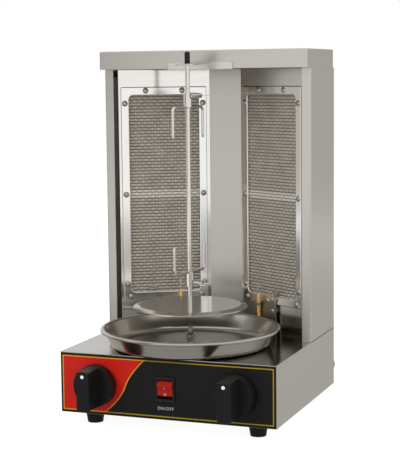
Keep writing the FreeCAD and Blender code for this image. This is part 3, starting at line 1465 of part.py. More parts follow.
def terminal_block():
    start = "(-gland_spread + terminal_offset)"
    near = f"({rear} - terminal_inset)"
    foot = "(foot_height + sheet)"
    middle = f"{foot} + terminal_height / 2"
    block = box("terminal_body", (start, f"{start} + terminal_length"), (near, f"{near} + terminal_depth"),
                (foot, f"{foot} + terminal_height"))
    bores = [
        cylinder(f"terminal_bore_{n}", "terminal_hole_radius", "terminal_depth + 2 * sheet",
                 (f"{start} + terminal_pitch * {n + 0.5}", f"{near} - sheet", middle), "y")
        for n in range(3)]
    keep(cut("terminal_block", block, *bores), "terminal_block")


base_housing()
control_panel()
feet()
bottom_plate()
base_back_panel()
side_wall()
tower_back_panel()
roof_cover()
spit_guide()
reflector_panel()
wall_bracket()
burner_frame()
burner_mesh()
ceramic_plaques()
burner_tray()
mixing_tube()
gas_jets()
igniter()
gas_rail()
gas_inlet()
gas_valve()
burner_pipe()
knob()
power_switch()
drive()
drip_pan()
meat_disc()
spit()
fork("upper_fork", f"{wall_top} - upper_fork_drop", False)
fork("lower_fork", f"{deck} + lower_fork_rise", True)
burner_screws()
body_screws()
cord_gland()
terminal_block()

doc.recompute()

for thing in doc.Objects:
    if "Invalid" in thing.State or "Error" in thing.State:
        raise RuntimeError(f"{thing.Name} ({thing.Label}) did not build: {thing.State}")
for piece in pieces:
    if piece.Shape.isNull() or not piece.Shape.isValid():
        raise RuntimeError(f"{piece.Label} has no valid shape")

os.makedirs("parts", exist_ok=True)
for piece in pieces:
    piece.Shape.exportStep(f"parts/{piece.Label}.step")
print(f"{len(pieces)} pieces written")
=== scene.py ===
import math
import bpy
from mathutils import Matrix, Vector


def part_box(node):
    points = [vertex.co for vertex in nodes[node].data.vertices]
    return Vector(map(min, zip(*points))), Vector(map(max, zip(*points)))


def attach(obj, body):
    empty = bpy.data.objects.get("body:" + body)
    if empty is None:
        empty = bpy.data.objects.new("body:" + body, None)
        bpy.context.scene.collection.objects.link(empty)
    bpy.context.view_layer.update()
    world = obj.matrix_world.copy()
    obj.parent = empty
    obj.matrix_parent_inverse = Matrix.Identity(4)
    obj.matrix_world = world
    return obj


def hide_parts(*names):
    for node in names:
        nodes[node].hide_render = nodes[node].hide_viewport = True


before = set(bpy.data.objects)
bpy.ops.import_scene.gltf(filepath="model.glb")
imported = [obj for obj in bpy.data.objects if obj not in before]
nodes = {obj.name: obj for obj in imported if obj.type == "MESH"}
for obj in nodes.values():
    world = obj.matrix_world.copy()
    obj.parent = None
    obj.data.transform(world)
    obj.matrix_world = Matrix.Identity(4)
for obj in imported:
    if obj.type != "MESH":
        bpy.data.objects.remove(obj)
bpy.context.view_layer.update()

# Table-top doner grill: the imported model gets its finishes, the burner nets are woven
# wire by wire, and a plain white studio stands round it.
# Metres, +Z up, the control panel faces -Y.

mm = 0.001
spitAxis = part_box("spit_rod")
spitY = (spitAxis[0][1] + spitAxis[1][1]) / 2
print("frame loaded:", len(nodes), "nodes")


# sRGB hex to a linear colour with alpha
def toLinear(hexText):
    parts = [int(hexText[n:n + 2], 16) / 255 for n in (1, 3, 5)]
    return [c / 12.92 if c <= 0.04045 else ((c + 0.055) / 1.055) ** 2.4 for c in parts] + [1.0]


# settings are the node's own options, links are plain values or sockets for its inputs
def addNode(tree, kind, settings=None, links=None):
    node = tree.nodes.new("ShaderNode" + kind)
    for key, setting in (settings or {}).items():
        setattr(node, key, setting)
    for key, source in (links or {}).items():
        if isinstance(source, bpy.types.NodeSocket):
            tree.links.new(source, node.inputs[key])
        else:
            node.inputs[key].default_value = source
    return node


# a material with its Principled shader's plain values set
def newMaterial(name, **values):
    material = bpy.data.materials.new(name)
    material.use_nodes = True
    shader = material.node_tree.nodes["Principled BSDF"]
    for key, setting in values.items():
        shader.inputs[key.replace("_", " ")].default_value = setting
    return material, material.node_tree, shader


# gives CAD nodes their finish
def paint(material, *names):
    for name in names:
        mesh = nodes[name].data
        mesh.materials.clear()
        mesh.materials.append(material)


def pick(piece):
    bpy.ops.object.select_all(action="DESELECT")
    piece.select_set(True)
    bpy.context.view_layer.objects.active = piece


# puts a new piece's place into its mesh, with its finish, and lets it ride on its body
def settle(piece, name, body, material):
    pick(piece)
    bpy.ops.object.transform_apply(location=True, rotation=True, scale=True)
    piece.name = name
    piece.data.name = name
    piece.data.materials.clear()
    piece.data.materials.append(material)
    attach(piece, body)


# Stainless sheet: fine grain lines, slightly uneven sheen, a little waviness and softly rounded edges
def steelFinish(name, look):
    material, tree, shader = newMaterial(name, Metallic=1.0, Specular_Tint=[look["edgeTint"]] * 3 + [1.0])
    place = addNode(tree, "TexCoord").outputs["Object"]
    grainSpace = addNode(tree, "Mapping", None, {"Vector": place, "Scale": look["grain"]}).outputs["Vector"]
    grain = addNode(tree, "TexNoise", None, {
        "Vector": grainSpace, "Scale": 1.0, "Detail": 3.0, "Roughness": 0.6})
    cloud = addNode(tree, "TexNoise", None, {"Vector": place, "Scale": look["cloudScale"], "Detail": 2.0})
    shade = addNode(tree, "Mix", {"data_type": "RGBA"}, {
        "Factor": grain.outputs["Fac"], "A": toLinear(look["dark"]), "B": toLinear(look["light"])})
    tree.links.new(shade.outputs["Result"], shader.inputs["Base Color"])
    clouded = addNode(tree, "Math", {"operation": "MULTIPLY_ADD"}, {
        0: cloud.outputs["Fac"], 1: look["roughSpread"], 2: look["rough"] - look["roughSpread"]})
    streaked = addNode(tree, "Math", {"operation": "MULTIPLY_ADD"}, {
        0: grain.outputs["Fac"], 1: look["roughSpread"], 2: clouded.outputs["Value"]})
    tree.links.new(streaked.outputs["Value"], shader.inputs["Roughness"])
    edge = addNode(tree, "Bevel", {"samples": 4}, {"Radius": look["edge"]})
    waves = addNode(tree, "TexNoise", None, {"Vector": place, "Scale": look["waveScale"], "Detail": 1.0})
    dents = addNode(tree, "Bump", None, {
        "Strength": 1.0, "Distance": look["waveDepth"], "Height": waves.outputs["Fac"],
        "Normal": edge.outputs["Normal"]})
    lines = addNode(tree, "Bump", None, {
        "Strength": 0.5, "Distance": look["grainDepth"], "Height": grain.outputs["Fac"],
        "Normal": dents.outputs["Normal"]})
    tree.links.new(lines.outputs["Normal"], shader.inputs["Normal"])
    return material, tree, shader


# No. 4 brushed stainless: a soft satin grey with straight hairlines, drawn about 1.4 mm apart
# so that they show
satin = {
    "dark": "#BFBCB5", "light": "#CFCCC5", "edgeTint": 0.75, "rough": 0.33, "roughSpread": 0.06,
    "grain": (8, 8, 700), "grainDepth": 0.01 * mm, "cloudScale": 6.0,
    "waveScale": 5.0, "waveDepth": 0.2 * mm, "edge": 0.9 * mm,
}
# Bright-annealed mirror sheet: almost white, reflections stay sharp but wander a little
mirror = {
    "dark": "#E4E2DD", "light": "#EFEEEA", "edgeTint": 0.9, "rough": 0.09, "roughSpread": 0.03,
    "grain": (30, 30, 300), "grainDepth": 0.002 * mm, "cloudScale": 9.0,
    "waveScale": 9.0, "waveDepth": 0.12 * mm, "edge": 0.5 * mm,
}

brushedAcross = steelFinish("brushedStainlessAcross", satin)[0]
brushedUpright, wallTree, wallShader = steelFinish(
    "brushedStainlessUpright", {**satin, "grain": (700, 700, 8)})
guideSteel = steelFinish("brushedStainlessGuide", {
    **satin, "dark": "#C9C6BF", "light": "#DBD8D2", "rough": 0.26})[0]
flapSteel = steelFinish("dullFoldedEdging", {
    **satin, "dark": "#BDB5A8", "light": "#D2CABE", "rough": 0.45})[0]
screwSteel = steelFinish("satinScrewSteel", {
    **satin, "dark": "#B2AFA8", "light": "#C8C5BE", "rough": 0.34,
    "grain": (400, 400, 400), "edge": 0.3 * mm})[0]
deckSteel, deckTree, deckShader = steelFinish("brushedStainlessDeck", satin)
mirrorSheet, mirrorTree, mirrorShader = steelFinish("mirrorStainless", mirror)
polishedFrame = steelFinish("polishedStainlessFrame", {
    **mirror, "dark": "#EAE8E4", "light": "#F5F4F1", "rough": 0.13, "grain": (200, 200, 20)})[0]
polishedRod = steelFinish("polishedStainlessRod", {
    **mirror, "dark": "#CFCCC6", "light": "#E2DFD9", "rough": 0.14,
    "grain": (300, 300, 6), "waveDepth": 0.0})[0]
bracketSteel = steelFinish("heatStainedSteel", {
    **satin, "dark": "#8F867B", "light": "#ABA398", "rough": 0.36, "grain": (60, 60, 60)})[0]
hiddenSteel = steelFinish("plainSheetSteel", {
    **satin, "dark": "#8E8B86", "light": "#A09D97", "rough": 0.4})[0]

paint(brushedAcross, "roof_cover", "base_back_panel", "bottom_plate")
paint(brushedUpright, "left_side_wall", "right_side_wall", "tower_back_panel")
paint(guideSteel, "spit_guide")
paint(deckSteel, "base_housing")
paint(mirrorSheet, "reflector_panel")
paint(polishedFrame, "left_burner_frame", "right_burner_frame")
paint(polishedRod, "spit_rod", "upper_fork", "lower_fork", "upper_fork_screw", "lower_fork_screw",
      "igniter_pins", "drive_socket", "motor_shaft", "left_valve_stem", "right_valve_stem")
paint(screwSteel, "burner_screws", "body_screws")
paint(bracketSteel, "igniter_brackets")
paint(hiddenSteel, "left_wall_bracket", "right_wall_bracket", "left_burner_tray", "right_burner_tray",
      "left_mixing_tube", "right_mixing_tube", "left_burner_pipe", "right_burner_pipe", "gas_rail")

# A thin dark line is painted where the walls meet the deck: painted shade in the seam, with a little grime
seamShadeLook = {
    "height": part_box("base_housing")[1][2], "half": 0.7 * mm, "inset": 0.1 * mm, "colour": "#5A5751",
}
for tree, shader in ((wallTree, wallShader), (deckTree, deckShader)):
    place = addNode(tree, "TexCoord").outputs["Object"]
    spot = addNode(tree, "SeparateXYZ", None, {"Vector": place})
    offSeam = addNode(tree, "Math", {"operation": "SUBTRACT"}, {0: spot.outputs["Z"], 1: seamShadeLook["height"]})
    away = addNode(tree, "Math", {"operation": "ABSOLUTE"}, {0: offSeam.outputs["Value"]})
    near = addNode(tree, "Math", {"operation": "LESS_THAN"}, {0: away.outputs["Value"], 1: seamShadeLook["half"]})
    offMiddle = addNode(tree, "Math", {"operation": "ABSOLUTE"}, {0: spot.outputs["X"]})
    outside = addNode(tree, "Math", {"operation": "GREATER_THAN"}, {
        0: offMiddle.outputs["Value"], 1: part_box("base_housing")[1][0] - seamShadeLook["inset"]})
    behind = addNode(tree, "Math", {"operation": "GREATER_THAN"}, {
        0: spot.outputs["Y"], 1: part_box("right_side_wall")[0][1]})
    onEdge = addNode(tree, "Math", {"operation": "MULTIPLY"}, {
        0: outside.outputs["Value"], 1: behind.outputs["Value"]})
    # painted shade: the band along the joint takes the dark seam colour
    inSeamShade = addNode(tree, "Math", {"operation": "MULTIPLY"}, {
        0: near.outputs["Value"], 1: onEdge.outputs["Value"]})
    steel = shader.inputs["Base Color"].links[0].from_socket
    colour = addNode(tree, "Mix", {"data_type": "RGBA"}, {
        "Factor": inSeamShade.outputs["Value"], "A": steel, "B": toLinear(seamShadeLook["colour"])})
    tree.links.new(colour.outputs["Result"], shader.inputs["Base Color"])

# The deck's top is smoother than the folded sides
deckLook = {"below": 0.2 * mm, "rough": 0.16}
place = addNode(deckTree, "TexCoord").outputs["Object"]
height = addNode(deckTree, "SeparateXYZ", None, {"Vector": place}).outputs["Z"]
onTop = addNode(deckTree, "Math", {"operation": "GREATER_THAN"}, {
    0: height, 1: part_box("base_housing")[1][2] - deckLook["below"]})
sideRough = deckShader.inputs["Roughness"].links[0].from_socket
deckRough = addNode(deckTree, "Mix", {"data_type": "FLOAT"}, {
    "Factor": onTop.outputs["Value"], "A": sideRough, "B": deckLook["rough"]})
deckTree.links.new(deckRough.outputs["Result"], deckShader.inputs["Roughness"])

# The reflector's flat middle is brushed, its two wings are polished, the right one a little duller
middleLook = {"half": 22.9 * mm, "rough": 0.33, "colour": "#C2BFB8", "rightDuller": 0.11}
place = addNode(mirrorTree, "TexCoord").outputs["Object"]
across = addNode(mirrorTree, "SeparateXYZ", None, {"Vector": place}).outputs["X"]
offMiddle = addNode(mirrorTree, "Math", {"operation": "ABSOLUTE"}, {0: across})
inMiddle = addNode(mirrorTree, "Math", {"operation": "LESS_THAN"}, {
    0: offMiddle.outputs["Value"], 1: middleLook["half"]})
onRight = addNode(mirrorTree, "Math", {"operation": "GREATER_THAN"}, {0: across, 1: middleLook["half"]})
wingRough = addNode(mirrorTree, "Math", {"operation": "MULTIPLY_ADD"}, {
    0: onRight.outputs["Value"], 1: middleLook["rightDuller"],
    2: mirrorShader.inputs["Roughness"].links[0].from_socket}).outputs["Value"]
wingColour = mirrorShader.inputs["Base Color"].links[0].from_socket
middleRough = addNode(mirrorTree, "Mix", {"data_type": "FLOAT"}, {
    "Factor": inMiddle.outputs["Value"], "A": wingRough, "B": middleLook["rough"]})
middleColour = addNode(mirrorTree, "Mix", {"data_type": "RGBA"}, {
    "Factor": inMiddle.outputs["Value"], "A": wingColour, "B": toLinear(middleLook["colour"])})
mirrorTree.links.new(middleRough.outputs["Result"], mirrorShader.inputs["Roughness"])
mirrorTree.links.new(middleColour.outputs["Result"], mirrorShader.inputs["Base Color"])


# Spun stainless: faint rings round the spit's axis, drawn 3 mm apart so that they show, and a
# floor in its own shade
def spunFinish(name, look):
    material, tree, shader = newMaterial(name, Metallic=1.0)
    place = addNode(tree, "TexCoord").outputs["Object"]
    centred = addNode(tree, "VectorMath", {"operation": "SUBTRACT"}, {0: place, 1: (0.0, spitY, 0.0)})
    flat = addNode(tree, "VectorMath", {"operation": "MULTIPLY"}, {
        0: centred.outputs["Vector"], 1: (1, 1, 0)})
    level = addNode(tree, "VectorMath", {"operation": "LENGTH"}, {0: flat.outputs["Vector"]})
    radius = level.outputs["Value"]
    ringSpace = addNode(tree, "CombineXYZ", None, {"X": radius}).outputs["Vector"]
    rings = addNode(tree, "TexNoise", None, {"Vector": ringSpace, "Scale": 1 / look["pitch"], "Detail": 2.0})
    cloud = addNode(tree, "TexNoise", None, {"Vector": place, "Scale": look["cloudScale"], "Detail": 3.0})
    shade = addNode(tree, "Mix", {"data_type": "RGBA"}, {
        "Factor": rings.outputs["Fac"], "A": toLinear(look["dark"]), "B": toLinear(look["light"])})
    inFloor = addNode(tree, "Math", {"operation": "LESS_THAN"}, {0: radius, 1: look["floorRadius"]})
    dulled = addNode(tree, "Mix", {"data_type": "RGBA", "blend_type": "MULTIPLY"}, {
        "Factor": inFloor.outputs["Value"], "A": shade.outputs["Result"], "B": toLinear(look["floorShade"])})
    tree.links.new(dulled.outputs["Result"], shader.inputs["Base Color"])
    rough = addNode(tree, "Math", {"operation": "MULTIPLY_ADD"}, {
        0: cloud.outputs["Fac"], 1: look["roughSpread"], 2: look["rough"] - look["roughSpread"] / 2})
    tree.links.new(rough.outputs["Value"], shader.inputs["Roughness"])
    edge = addNode(tree, "Bevel", {"samples": 4}, {"Radius": look["edge"]})
    turned = addNode(tree, "Bump", None, {
        "Strength": 0.4, "Distance": look["depth"], "Height": rings.outputs["Fac"],
        "Normal": edge.outputs["Normal"]})
    tree.links.new(turned.outputs["Normal"], shader.inputs["Normal"])
    return material


panLook = {
    "pitch": 3.0 * mm, "depth": 0.008 * mm, "rough": 0.2, "roughSpread": 0.08, "cloudScale": 20.0,
    "dark": "#A6A39D", "light": "#B9B6B0", "floorRadius": 97.0 * mm, "floorShade": "#A5A19B",
    "edge": 0.4 * mm,
}
discLook = {
    **panLook, "depth": 0.006 * mm, "rough": 0.15, "dark": "#BBB8B2", "light": "#CCC9C3",
    "floorShade": "#FFFFFF",
}
paint(spunFinish("spunStainlessPan", panLook), "drip_pan")
paint(spunFinish("spunStainlessDisc", discLook), "meat_disc")
print("steel finished")


# Control panel: black print with a red corner, a thin yellow line round it and along the curve
panelPrint = {
    "black": "#151515", "red": "#CB2015", "lineOnRed": "#DF9A1A", "lineOnBlack": "#A88E12",
    "centre": (0.0, 0.0, 56.6 * mm), "half": (142.0 * mm, 35.6 * mm), "corner": 2.0 * mm,
    "line": 1.4 * mm, "curveLine": 0.85 * mm, "speckleScale": 1200.0, "speckleDepth": 0.02 * mm,
    "low": 18.0 * mm, "high": 95.1 * mm, "left": -100.0 * mm, "span": 100.0 * mm,
    # the curve between red and black, as (height, place across), mm
    "curve": [(17.5, -88.3), (21.4, -83.5), (34.2, -69.3), (47.9, -58.9), (62.6, -52.2), (77.7, -42.0),
              (91.3, -29.2), (95.1, -25.4)],
}


# Silk-screened sheet steel: flat ink with a slight gloss
def printedPanel(look):
    material, tree, shader = newMaterial("silkScreenPrint", Roughness=0.45, Specular_IOR_Level=0.2)
    place = addNode(tree, "TexCoord").outputs["Object"]
    centred = addNode(tree, "VectorMath", {"operation": "SUBTRACT"}, {0: place, 1: look["centre"]})
    size = addNode(tree, "VectorMath", {"operation": "ABSOLUTE"}, {0: centred.outputs["Vector"]})
    extent = addNode(tree, "SeparateXYZ", None, {"Vector": size.outputs["Vector"]})
    spot = addNode(tree, "SeparateXYZ", None, {"Vector": place})
    # how far inside the printed border a point lies, negative outside
    fromSide = addNode(tree, "Math", {"operation": "SUBTRACT"}, {0: look["half"][0], 1: extent.outputs["X"]})
    fromTop = addNode(tree, "Math", {"operation": "SUBTRACT"}, {0: look["half"][1], 1: extent.outputs["Z"]})
    inset = addNode(tree, "Math", {"operation": "SMOOTH_MIN"}, {
        0: fromSide.outputs["Value"], 1: fromTop.outputs["Value"], 2: look["corner"]})
    inside = addNode(tree, "Math", {"operation": "GREATER_THAN"}, {0: inset.outputs["Value"], 1: 0.0})
    deep = addNode(tree, "Math", {"operation": "GREATER_THAN"}, {0: inset.outputs["Value"], 1: look["line"]})
    border = addNode(tree, "Math", {"operation": "SUBTRACT"}, {
        0: inside.outputs["Value"], 1: deep.outputs["Value"]})
    # the curve's place across for each height
    up = addNode(tree, "MapRange", None, {
        "Value": spot.outputs["Z"], "From Min": look["low"], "From Max": look["high"]})
    curve = addNode(tree, "FloatCurve", None, {"Value": up.outputs["Result"]})
    rise = look["high"] - look["low"]
    knots = [((z * mm - look["low"]) / rise, (x * mm - look["left"]) / look["span"])
             for z, x in look["curve"]]
    points = curve.mapping.curves[0].points
    points[0].location = (max(0.0, knots[0][0]), knots[0][1])
    points[-1].location = knots[-1]
    for knot in knots[1:-1]:
        points.new(*knot)
    curve.mapping.update()
    bend = addNode(tree, "Math", {"operation": "MULTIPLY_ADD"}, {
        0: curve.outputs["Value"], 1: look["span"], 2: look["left"]})
    past = addNode(tree, "Math", {"operation": "SUBTRACT"}, {0: bend.outputs["Value"], 1: spot.outputs["X"]})
    isRed = addNode(tree, "Math", {"operation": "GREATER_THAN"}, {0: past.outputs["Value"], 1: 0.0})
    gap = addNode(tree, "Math", {"operation": "ABSOLUTE"}, {0: past.outputs["Value"]})
    onCurve = addNode(tree, "Math", {"operation": "LESS_THAN"}, {
        0: gap.outputs["Value"], 1: look["curveLine"]})
    redInside = addNode(tree, "Math", {"operation": "MULTIPLY"}, {
        0: isRed.outputs["Value"], 1: inside.outputs["Value"]})
    curveInside = addNode(tree, "Math", {"operation": "MULTIPLY"}, {
        0: onCurve.outputs["Value"], 1: inside.outputs["Value"]})
    anyLine = addNode(tree, "Math", {"operation": "MAXIMUM"}, {
        0: border.outputs["Value"], 1: curveInside.outputs["Value"]})
    ground = addNode(tree, "Mix", {"data_type": "RGBA"}, {
        "Factor": redInside.outputs["Value"], "A": toLinear(look["black"]), "B": toLinear(look["red"])})
    # the same yellow ink looks brighter over red than over black
    nearRed = addNode(tree, "Math", {"operation": "GREATER_THAN"}, {
        0: past.outputs["Value"], 1: -2.0 * look["curveLine"]})
    ink = addNode(tree, "Mix", {"data_type": "RGBA"}, {
        "Factor": nearRed.outputs["Value"], "A": toLinear(look["lineOnBlack"]),
        "B": toLinear(look["lineOnRed"])})
    colour = addNode(tree, "Mix", {"data_type": "RGBA"}, {
        "Factor": anyLine.outputs["Value"], "A": ground.outputs["Result"], "B": ink.outputs["Result"]})
    tree.links.new(colour.outputs["Result"], shader.inputs["Base Color"])
    speckle = addNode(tree, "TexNoise", None, {
        "Vector": place, "Scale": look["speckleScale"], "Detail": 1.0})
    orangePeel = addNode(tree, "Bump", None, {
        "Strength": 0.25, "Distance": look["speckleDepth"], "Height": speckle.outputs["Fac"]})
    tree.links.new(orangePeel.outputs["Normal"], shader.inputs["Normal"])
    return material


paint(printedPanel(panelPrint), "control_panel")

# The switch's label, the one printed word that is kept
label = {
    "text": "ON/OFF", "width": 21.5 * mm, "height": 3.9 * mm, "spacing": 1.25,
    "at": (0.0, -132.53 * mm, 32.1 * mm), "thick": 0.02 * mm,
}
whiteInk = newMaterial("whiteInk", Base_Color=toLinear("#C9C9C6"), Roughness=0.45)[0]
bpy.ops.object.text_add(location=(0, 0, 0))
text = bpy.context.object
text.data.body = label["text"]
text.data.align_x = "CENTER"
text.data.align_y = "CENTER"
text.data.space_character = label["spacing"]
text.data.extrude = label["thick"]
pick(text)
bpy.ops.object.convert(target="MESH")
text = bpy.context.object
text.scale = (label["width"] / text.dimensions.x, label["height"] / text.dimensions.y, 1.0)
text.rotation_euler = (math.radians(90), 0, 0)
text.location = label["at"]
settle(text, "switchLabel", "frame", whiteInk)
print("panel printed")

mouldedEdge = 0.6 * mm


# Injection-moulded plastic: spark-eroded grain, drawn coarse enough to show, and rounded edges
def mouldedPlastic(name, look):
    material, tree, shader = newMaterial(
        name, Base_Color=toLinear(look["colour"]), Roughness=look["rough"],
        Specular_IOR_Level=look["specular"])
    place = addNode(tree, "TexCoord").outputs["Object"]
    grain = addNode(tree, "TexNoise", None, {"Vector": place, "Scale": 1 / look["grain"], "Detail": 2.0})
    edge = addNode(tree, "Bevel", {"samples": 4}, {"Radius": mouldedEdge})
    bump = addNode(tree, "Bump", None, {
        "Strength": 0.4, "Distance": look["depth"], "Height": grain.outputs["Fac"],
        "Normal": edge.outputs["Normal"]})
    tree.links.new(bump.outputs["Normal"], shader.inputs["Normal"])
    return material, tree, shader


# Fills marks into a moulding's face, seen along Y: each has a centre, a half width with a
# half height, and the share of it that is left open, below 0 where it is filled all over
def fillMarks(tree, shader, marks, hexText):
    place = addNode(tree, "TexCoord").outputs["Object"]
    total = 0.0
    for mark in marks:
        centred = addNode(tree, "VectorMath", {"operation": "SUBTRACT"}, {0: place, 1: mark["at"]})
        shrink = (1 / mark["half"][0], 0, 1 / mark["half"][1])
        flat = addNode(tree, "VectorMath", {"operation": "MULTIPLY"}, {
            0: centred.outputs["Vector"], 1: shrink})
        length = addNode(tree, "VectorMath", {"operation": "LENGTH"}, {0: flat.outputs["Vector"]})
        reach = length.outputs["Value"]
        filled = addNode(tree, "Math", {"operation": "LESS_THAN"}, {0: reach, 1: 1.0})
        outside = addNode(tree, "Math", {"operation": "GREATER_THAN"}, {0: reach, 1: mark["open"]})
        ink = addNode(tree, "Math", {"operation": "MULTIPLY"}, {
            0: filled.outputs["Value"], 1: outside.outputs["Value"]})
        either = addNode(tree, "Math", {"operation": "MAXIMUM"}, {0: total, 1: ink.outputs["Value"]})
        total = either.outputs["Value"]
    plain = tuple(shader.inputs["Base Color"].default_value)
    colour = addNode(tree, "Mix", {"data_type": "RGBA"}, {
        "Factor": total, "A": plain, "B": toLinear(hexText)})
    tree.links.new(colour.outputs["Result"], shader.inputs["Base Color"])


# Phenolic knobs: black with a low sheen, and a white dot at the grip's upper end
knobLook = {
    "colour": "#141414", "rough": 0.42, "specular": 0.24, "grain": 0.7 * mm, "depth": 0.03 * mm,
    "dot": "#F4F4F2", "dotHalf": 2.3 * mm, "dotHeight": 75.6 * mm, "spread": 93 * mm,
}
knobPlastic, tree, shader = mouldedPlastic("phenolicBlack", knobLook)
knobDots = [{
    "at": (sign * knobLook["spread"], 0, knobLook["dotHeight"]),
    "half": (knobLook["dotHalf"],) * 2, "open": -1.0} for sign in (-1, 1)]
fillMarks(tree, shader, knobDots, knobLook["dot"])
paint(knobPlastic, "left_knob", "right_knob")

nylonLook = {"colour": "#191919", "rough": 0.48, "specular": 0.28, "grain": 0.7 * mm, "depth": 0.03 * mm}
paint(mouldedPlastic("nylonBlack", nylonLook)[0],
      "switch_housing", "terminal_block", "cord_gland", "shaft_bush")
rubberLook = {"colour": "#191918", "rough": 0.62, "specular": 0.25, "grain": 1.1 * mm, "depth": 0.05 * mm}
paint(mouldedPlastic("rubberBlack", rubberLook)[0],
      "front_left_foot", "front_right_foot", "rear_left_foot", "rear_right_foot", "spit_cap")

# Glossy red rocker with a moulded-in bar for on and ring for off
rockerLook = {
    "colour": "#A8140C", "rough": 0.26, "specular": 0.25, "grain": 1.6 * mm, "depth": 0.0,
    "mark": "#A9A49A",
    "bar": {"at": (-0.4 * mm, 0, 58.6 * mm), "half": (0.6 * mm, 1.35 * mm), "open": -1.0},
    "ring": {"at": (0, 0, 50.2 * mm), "half": (1.95 * mm, 1.95 * mm), "open": 0.55},
}
redPolycarbonate, tree, shader = mouldedPlastic("polycarbonateRed", rockerLook)
fillMarks(tree, shader, [rockerLook["bar"], rockerLook["ring"]], rockerLook["mark"])
paint(redPolycarbonate, "rocker")
print("mouldings finished")

# Glazed steatite insulators: amber, wet-looking
amberLook = {"colour": "#FFCB6B", "deep": "#E6A848", "flowScale": 180.0}
amber, tree, shader = newMaterial("glazedSteatite", Roughness=0.18, Specular_IOR_Level=0.6, Coat_Weight=0.5)
place = addNode(tree, "TexCoord").outputs["Object"]
flow = addNode(tree, "TexNoise", None, {
    "Vector": place, "Scale": amberLook["flowScale"], "Detail": 2.0})
glaze = addNode(tree, "Mix", {"data_type": "RGBA"}, {
    "Factor": flow.outputs["Fac"], "A": toLinear(amberLook["colour"]), "B": toLinear(amberLook["deep"])})
tree.links.new(glaze.outputs["Result"], shader.inputs["Base Color"])
paint(amber, "igniter_insulators")

# Cordierite plaques: dull, with fine holes about 2 mm apart, drawn as dark spots of painted shade
plaqueLook = {"face": "#8C8378", "hole": "#2E2A26", "pitch": 2.0 * mm, "uneven": 0.25, "holeRadius": 0.3}
ceramic, tree, shader = newMaterial("cordieriteCeramic", Roughness=0.9)
place = addNode(tree, "TexCoord").outputs["Object"]
cells = addNode(tree, "TexVoronoi", None, {
    "Vector": place, "Scale": 1 / plaqueLook["pitch"], "Randomness": plaqueLook["uneven"]})
isHole = addNode(tree, "Math", {"operation": "LESS_THAN"}, {
    0: cells.outputs["Distance"], 1: plaqueLook["holeRadius"]})
# painted shade: each hole is a dark spot of colour, not a hollow
face = addNode(tree, "Mix", {"data_type": "RGBA"}, {
    "Factor": isHole.outputs["Value"], "A": toLinear(plaqueLook["face"]), "B": toLinear(plaqueLook["hole"])})
tree.links.new(face.outputs["Result"], shader.inputs["Base Color"])
paint(ceramic, "left_ceramic_plaques", "right_ceramic_plaques")


# Turned brass and cast aluminium: plain metals with the marks of how they were made
def roughMetal(name, look):
    material, tree, shader = newMaterial(name, Metallic=1.0, Roughness=look["rough"])
    place = addNode(tree, "TexCoord").outputs["Object"]
    skin = addNode(tree, "TexNoise", None, {"Vector": place, "Scale": 1 / look["grain"], "Detail": 2.0})
    shade = addNode(tree, "Mix", {"data_type": "RGBA"}, {
        "Factor": skin.outputs["Fac"], "A": toLinear(look["dark"]), "B": toLinear(look["light"])})
    tree.links.new(shade.outputs["Result"], shader.inputs["Base Color"])
    bump = addNode(tree, "Bump", None, {
        "Strength": 0.4, "Distance": look["depth"], "Height": skin.outputs["Fac"]})
    tree.links.new(bump.outputs["Normal"], shader.inputs["Normal"])
    return material


brassLook = {"dark": "#B8924A", "light": "#D2AE66", "rough": 0.25, "grain": 2.5 * mm, "depth": 0.02 * mm}
nickelLook = {"dark": "#A8A59E", "light": "#BDBAB3", "rough": 0.35, "grain": 2.5 * mm, "depth": 0.02 * mm}
paint(roughMetal("platedBrass", nickelLook), "gas_inlet")
paint(roughMetal("turnedBrass", brassLook),
      "gas_jets", "left_gas_valve", "right_gas_valve", "left_valve_plug", "right_valve_plug")
castLook = {"dark": "#8F8F8D", "light": "#A8A8A6", "rough": 0.5, "grain": 2.0 * mm, "depth": 0.05 * mm}
paint(roughMetal("castAluminium", castLook), "gear_motor")
print("ceramic, brass and castings finished")

# Burner nets: flat wires that pass over and under thin uprights, laid like bricks
net = {
    "columns": 22, "across": 4.55 * mm, "rows": 65, "up": 4.25 * mm,
    "weftSides": 8, "weftSteps": 4, "weftHalf": (1.85 * mm, 0.8 * mm), "weftSwing": 0.55 * mm,
    "warpSides": 6, "warpSteps": 2, "warpHalf": (0.6 * mm, 0.6 * mm), "warpSwing": 0.75 * mm,
    "depth": 2.4 * mm, "burnerAlong": 64.0 * mm, "corner": (22.9 * mm, 97.8 * mm), "rise": 283.6 * mm,
    "angle": 31.0,
}
wingTurn = math.radians(net["angle"])


# One crimped wire along Z, centred: a filled ring extruded step by step along a sine
def crimpedWire(crossings, pitch, sides, steps, half, swing):
    foot = -crossings * pitch / 2
    bpy.ops.mesh.primitive_circle_add(vertices=sides, radius=1.0, fill_type="NGON", location=(0, 0, foot))
    wire = bpy.context.object
    bpy.ops.object.mode_set(mode="EDIT")
    bpy.ops.mesh.select_all(action="SELECT")
    bpy.ops.transform.resize(value=(half[0], half[1], 1.0))
    depths = [-swing * math.sin(math.pi * index / steps) for index in range(crossings * steps + 1)]
    for before, after in zip(depths, depths[1:]):
        step = (0.0, after - before, pitch / steps)
        bpy.ops.mesh.extrude_region_move(TRANSFORM_OT_translate={"value": step})
    bpy.ops.mesh.select_all(action="SELECT")
    bpy.ops.mesh.normals_make_consistent(inside=False)
    bpy.ops.object.mode_set(mode="OBJECT")
    pick(wire)
    bpy.ops.object.transform_apply(location=True, rotation=True, scale=True)
    return wire


# Moves a wire to its first place and repeats it by an array that is then applied
def laid(wire, start, count, offset):
    wire.location = start
    pick(wire)
    bpy.ops.object.transform_apply(location=True, rotation=True, scale=True)
    array = wire.modifiers.new("row", "ARRAY")
    array.count = count
    array.use_relative_offset = False
    array.use_constant_offset = True
    array.constant_offset_displace = offset
    bpy.ops.object.modifier_apply(modifier=array.name)
    return wire


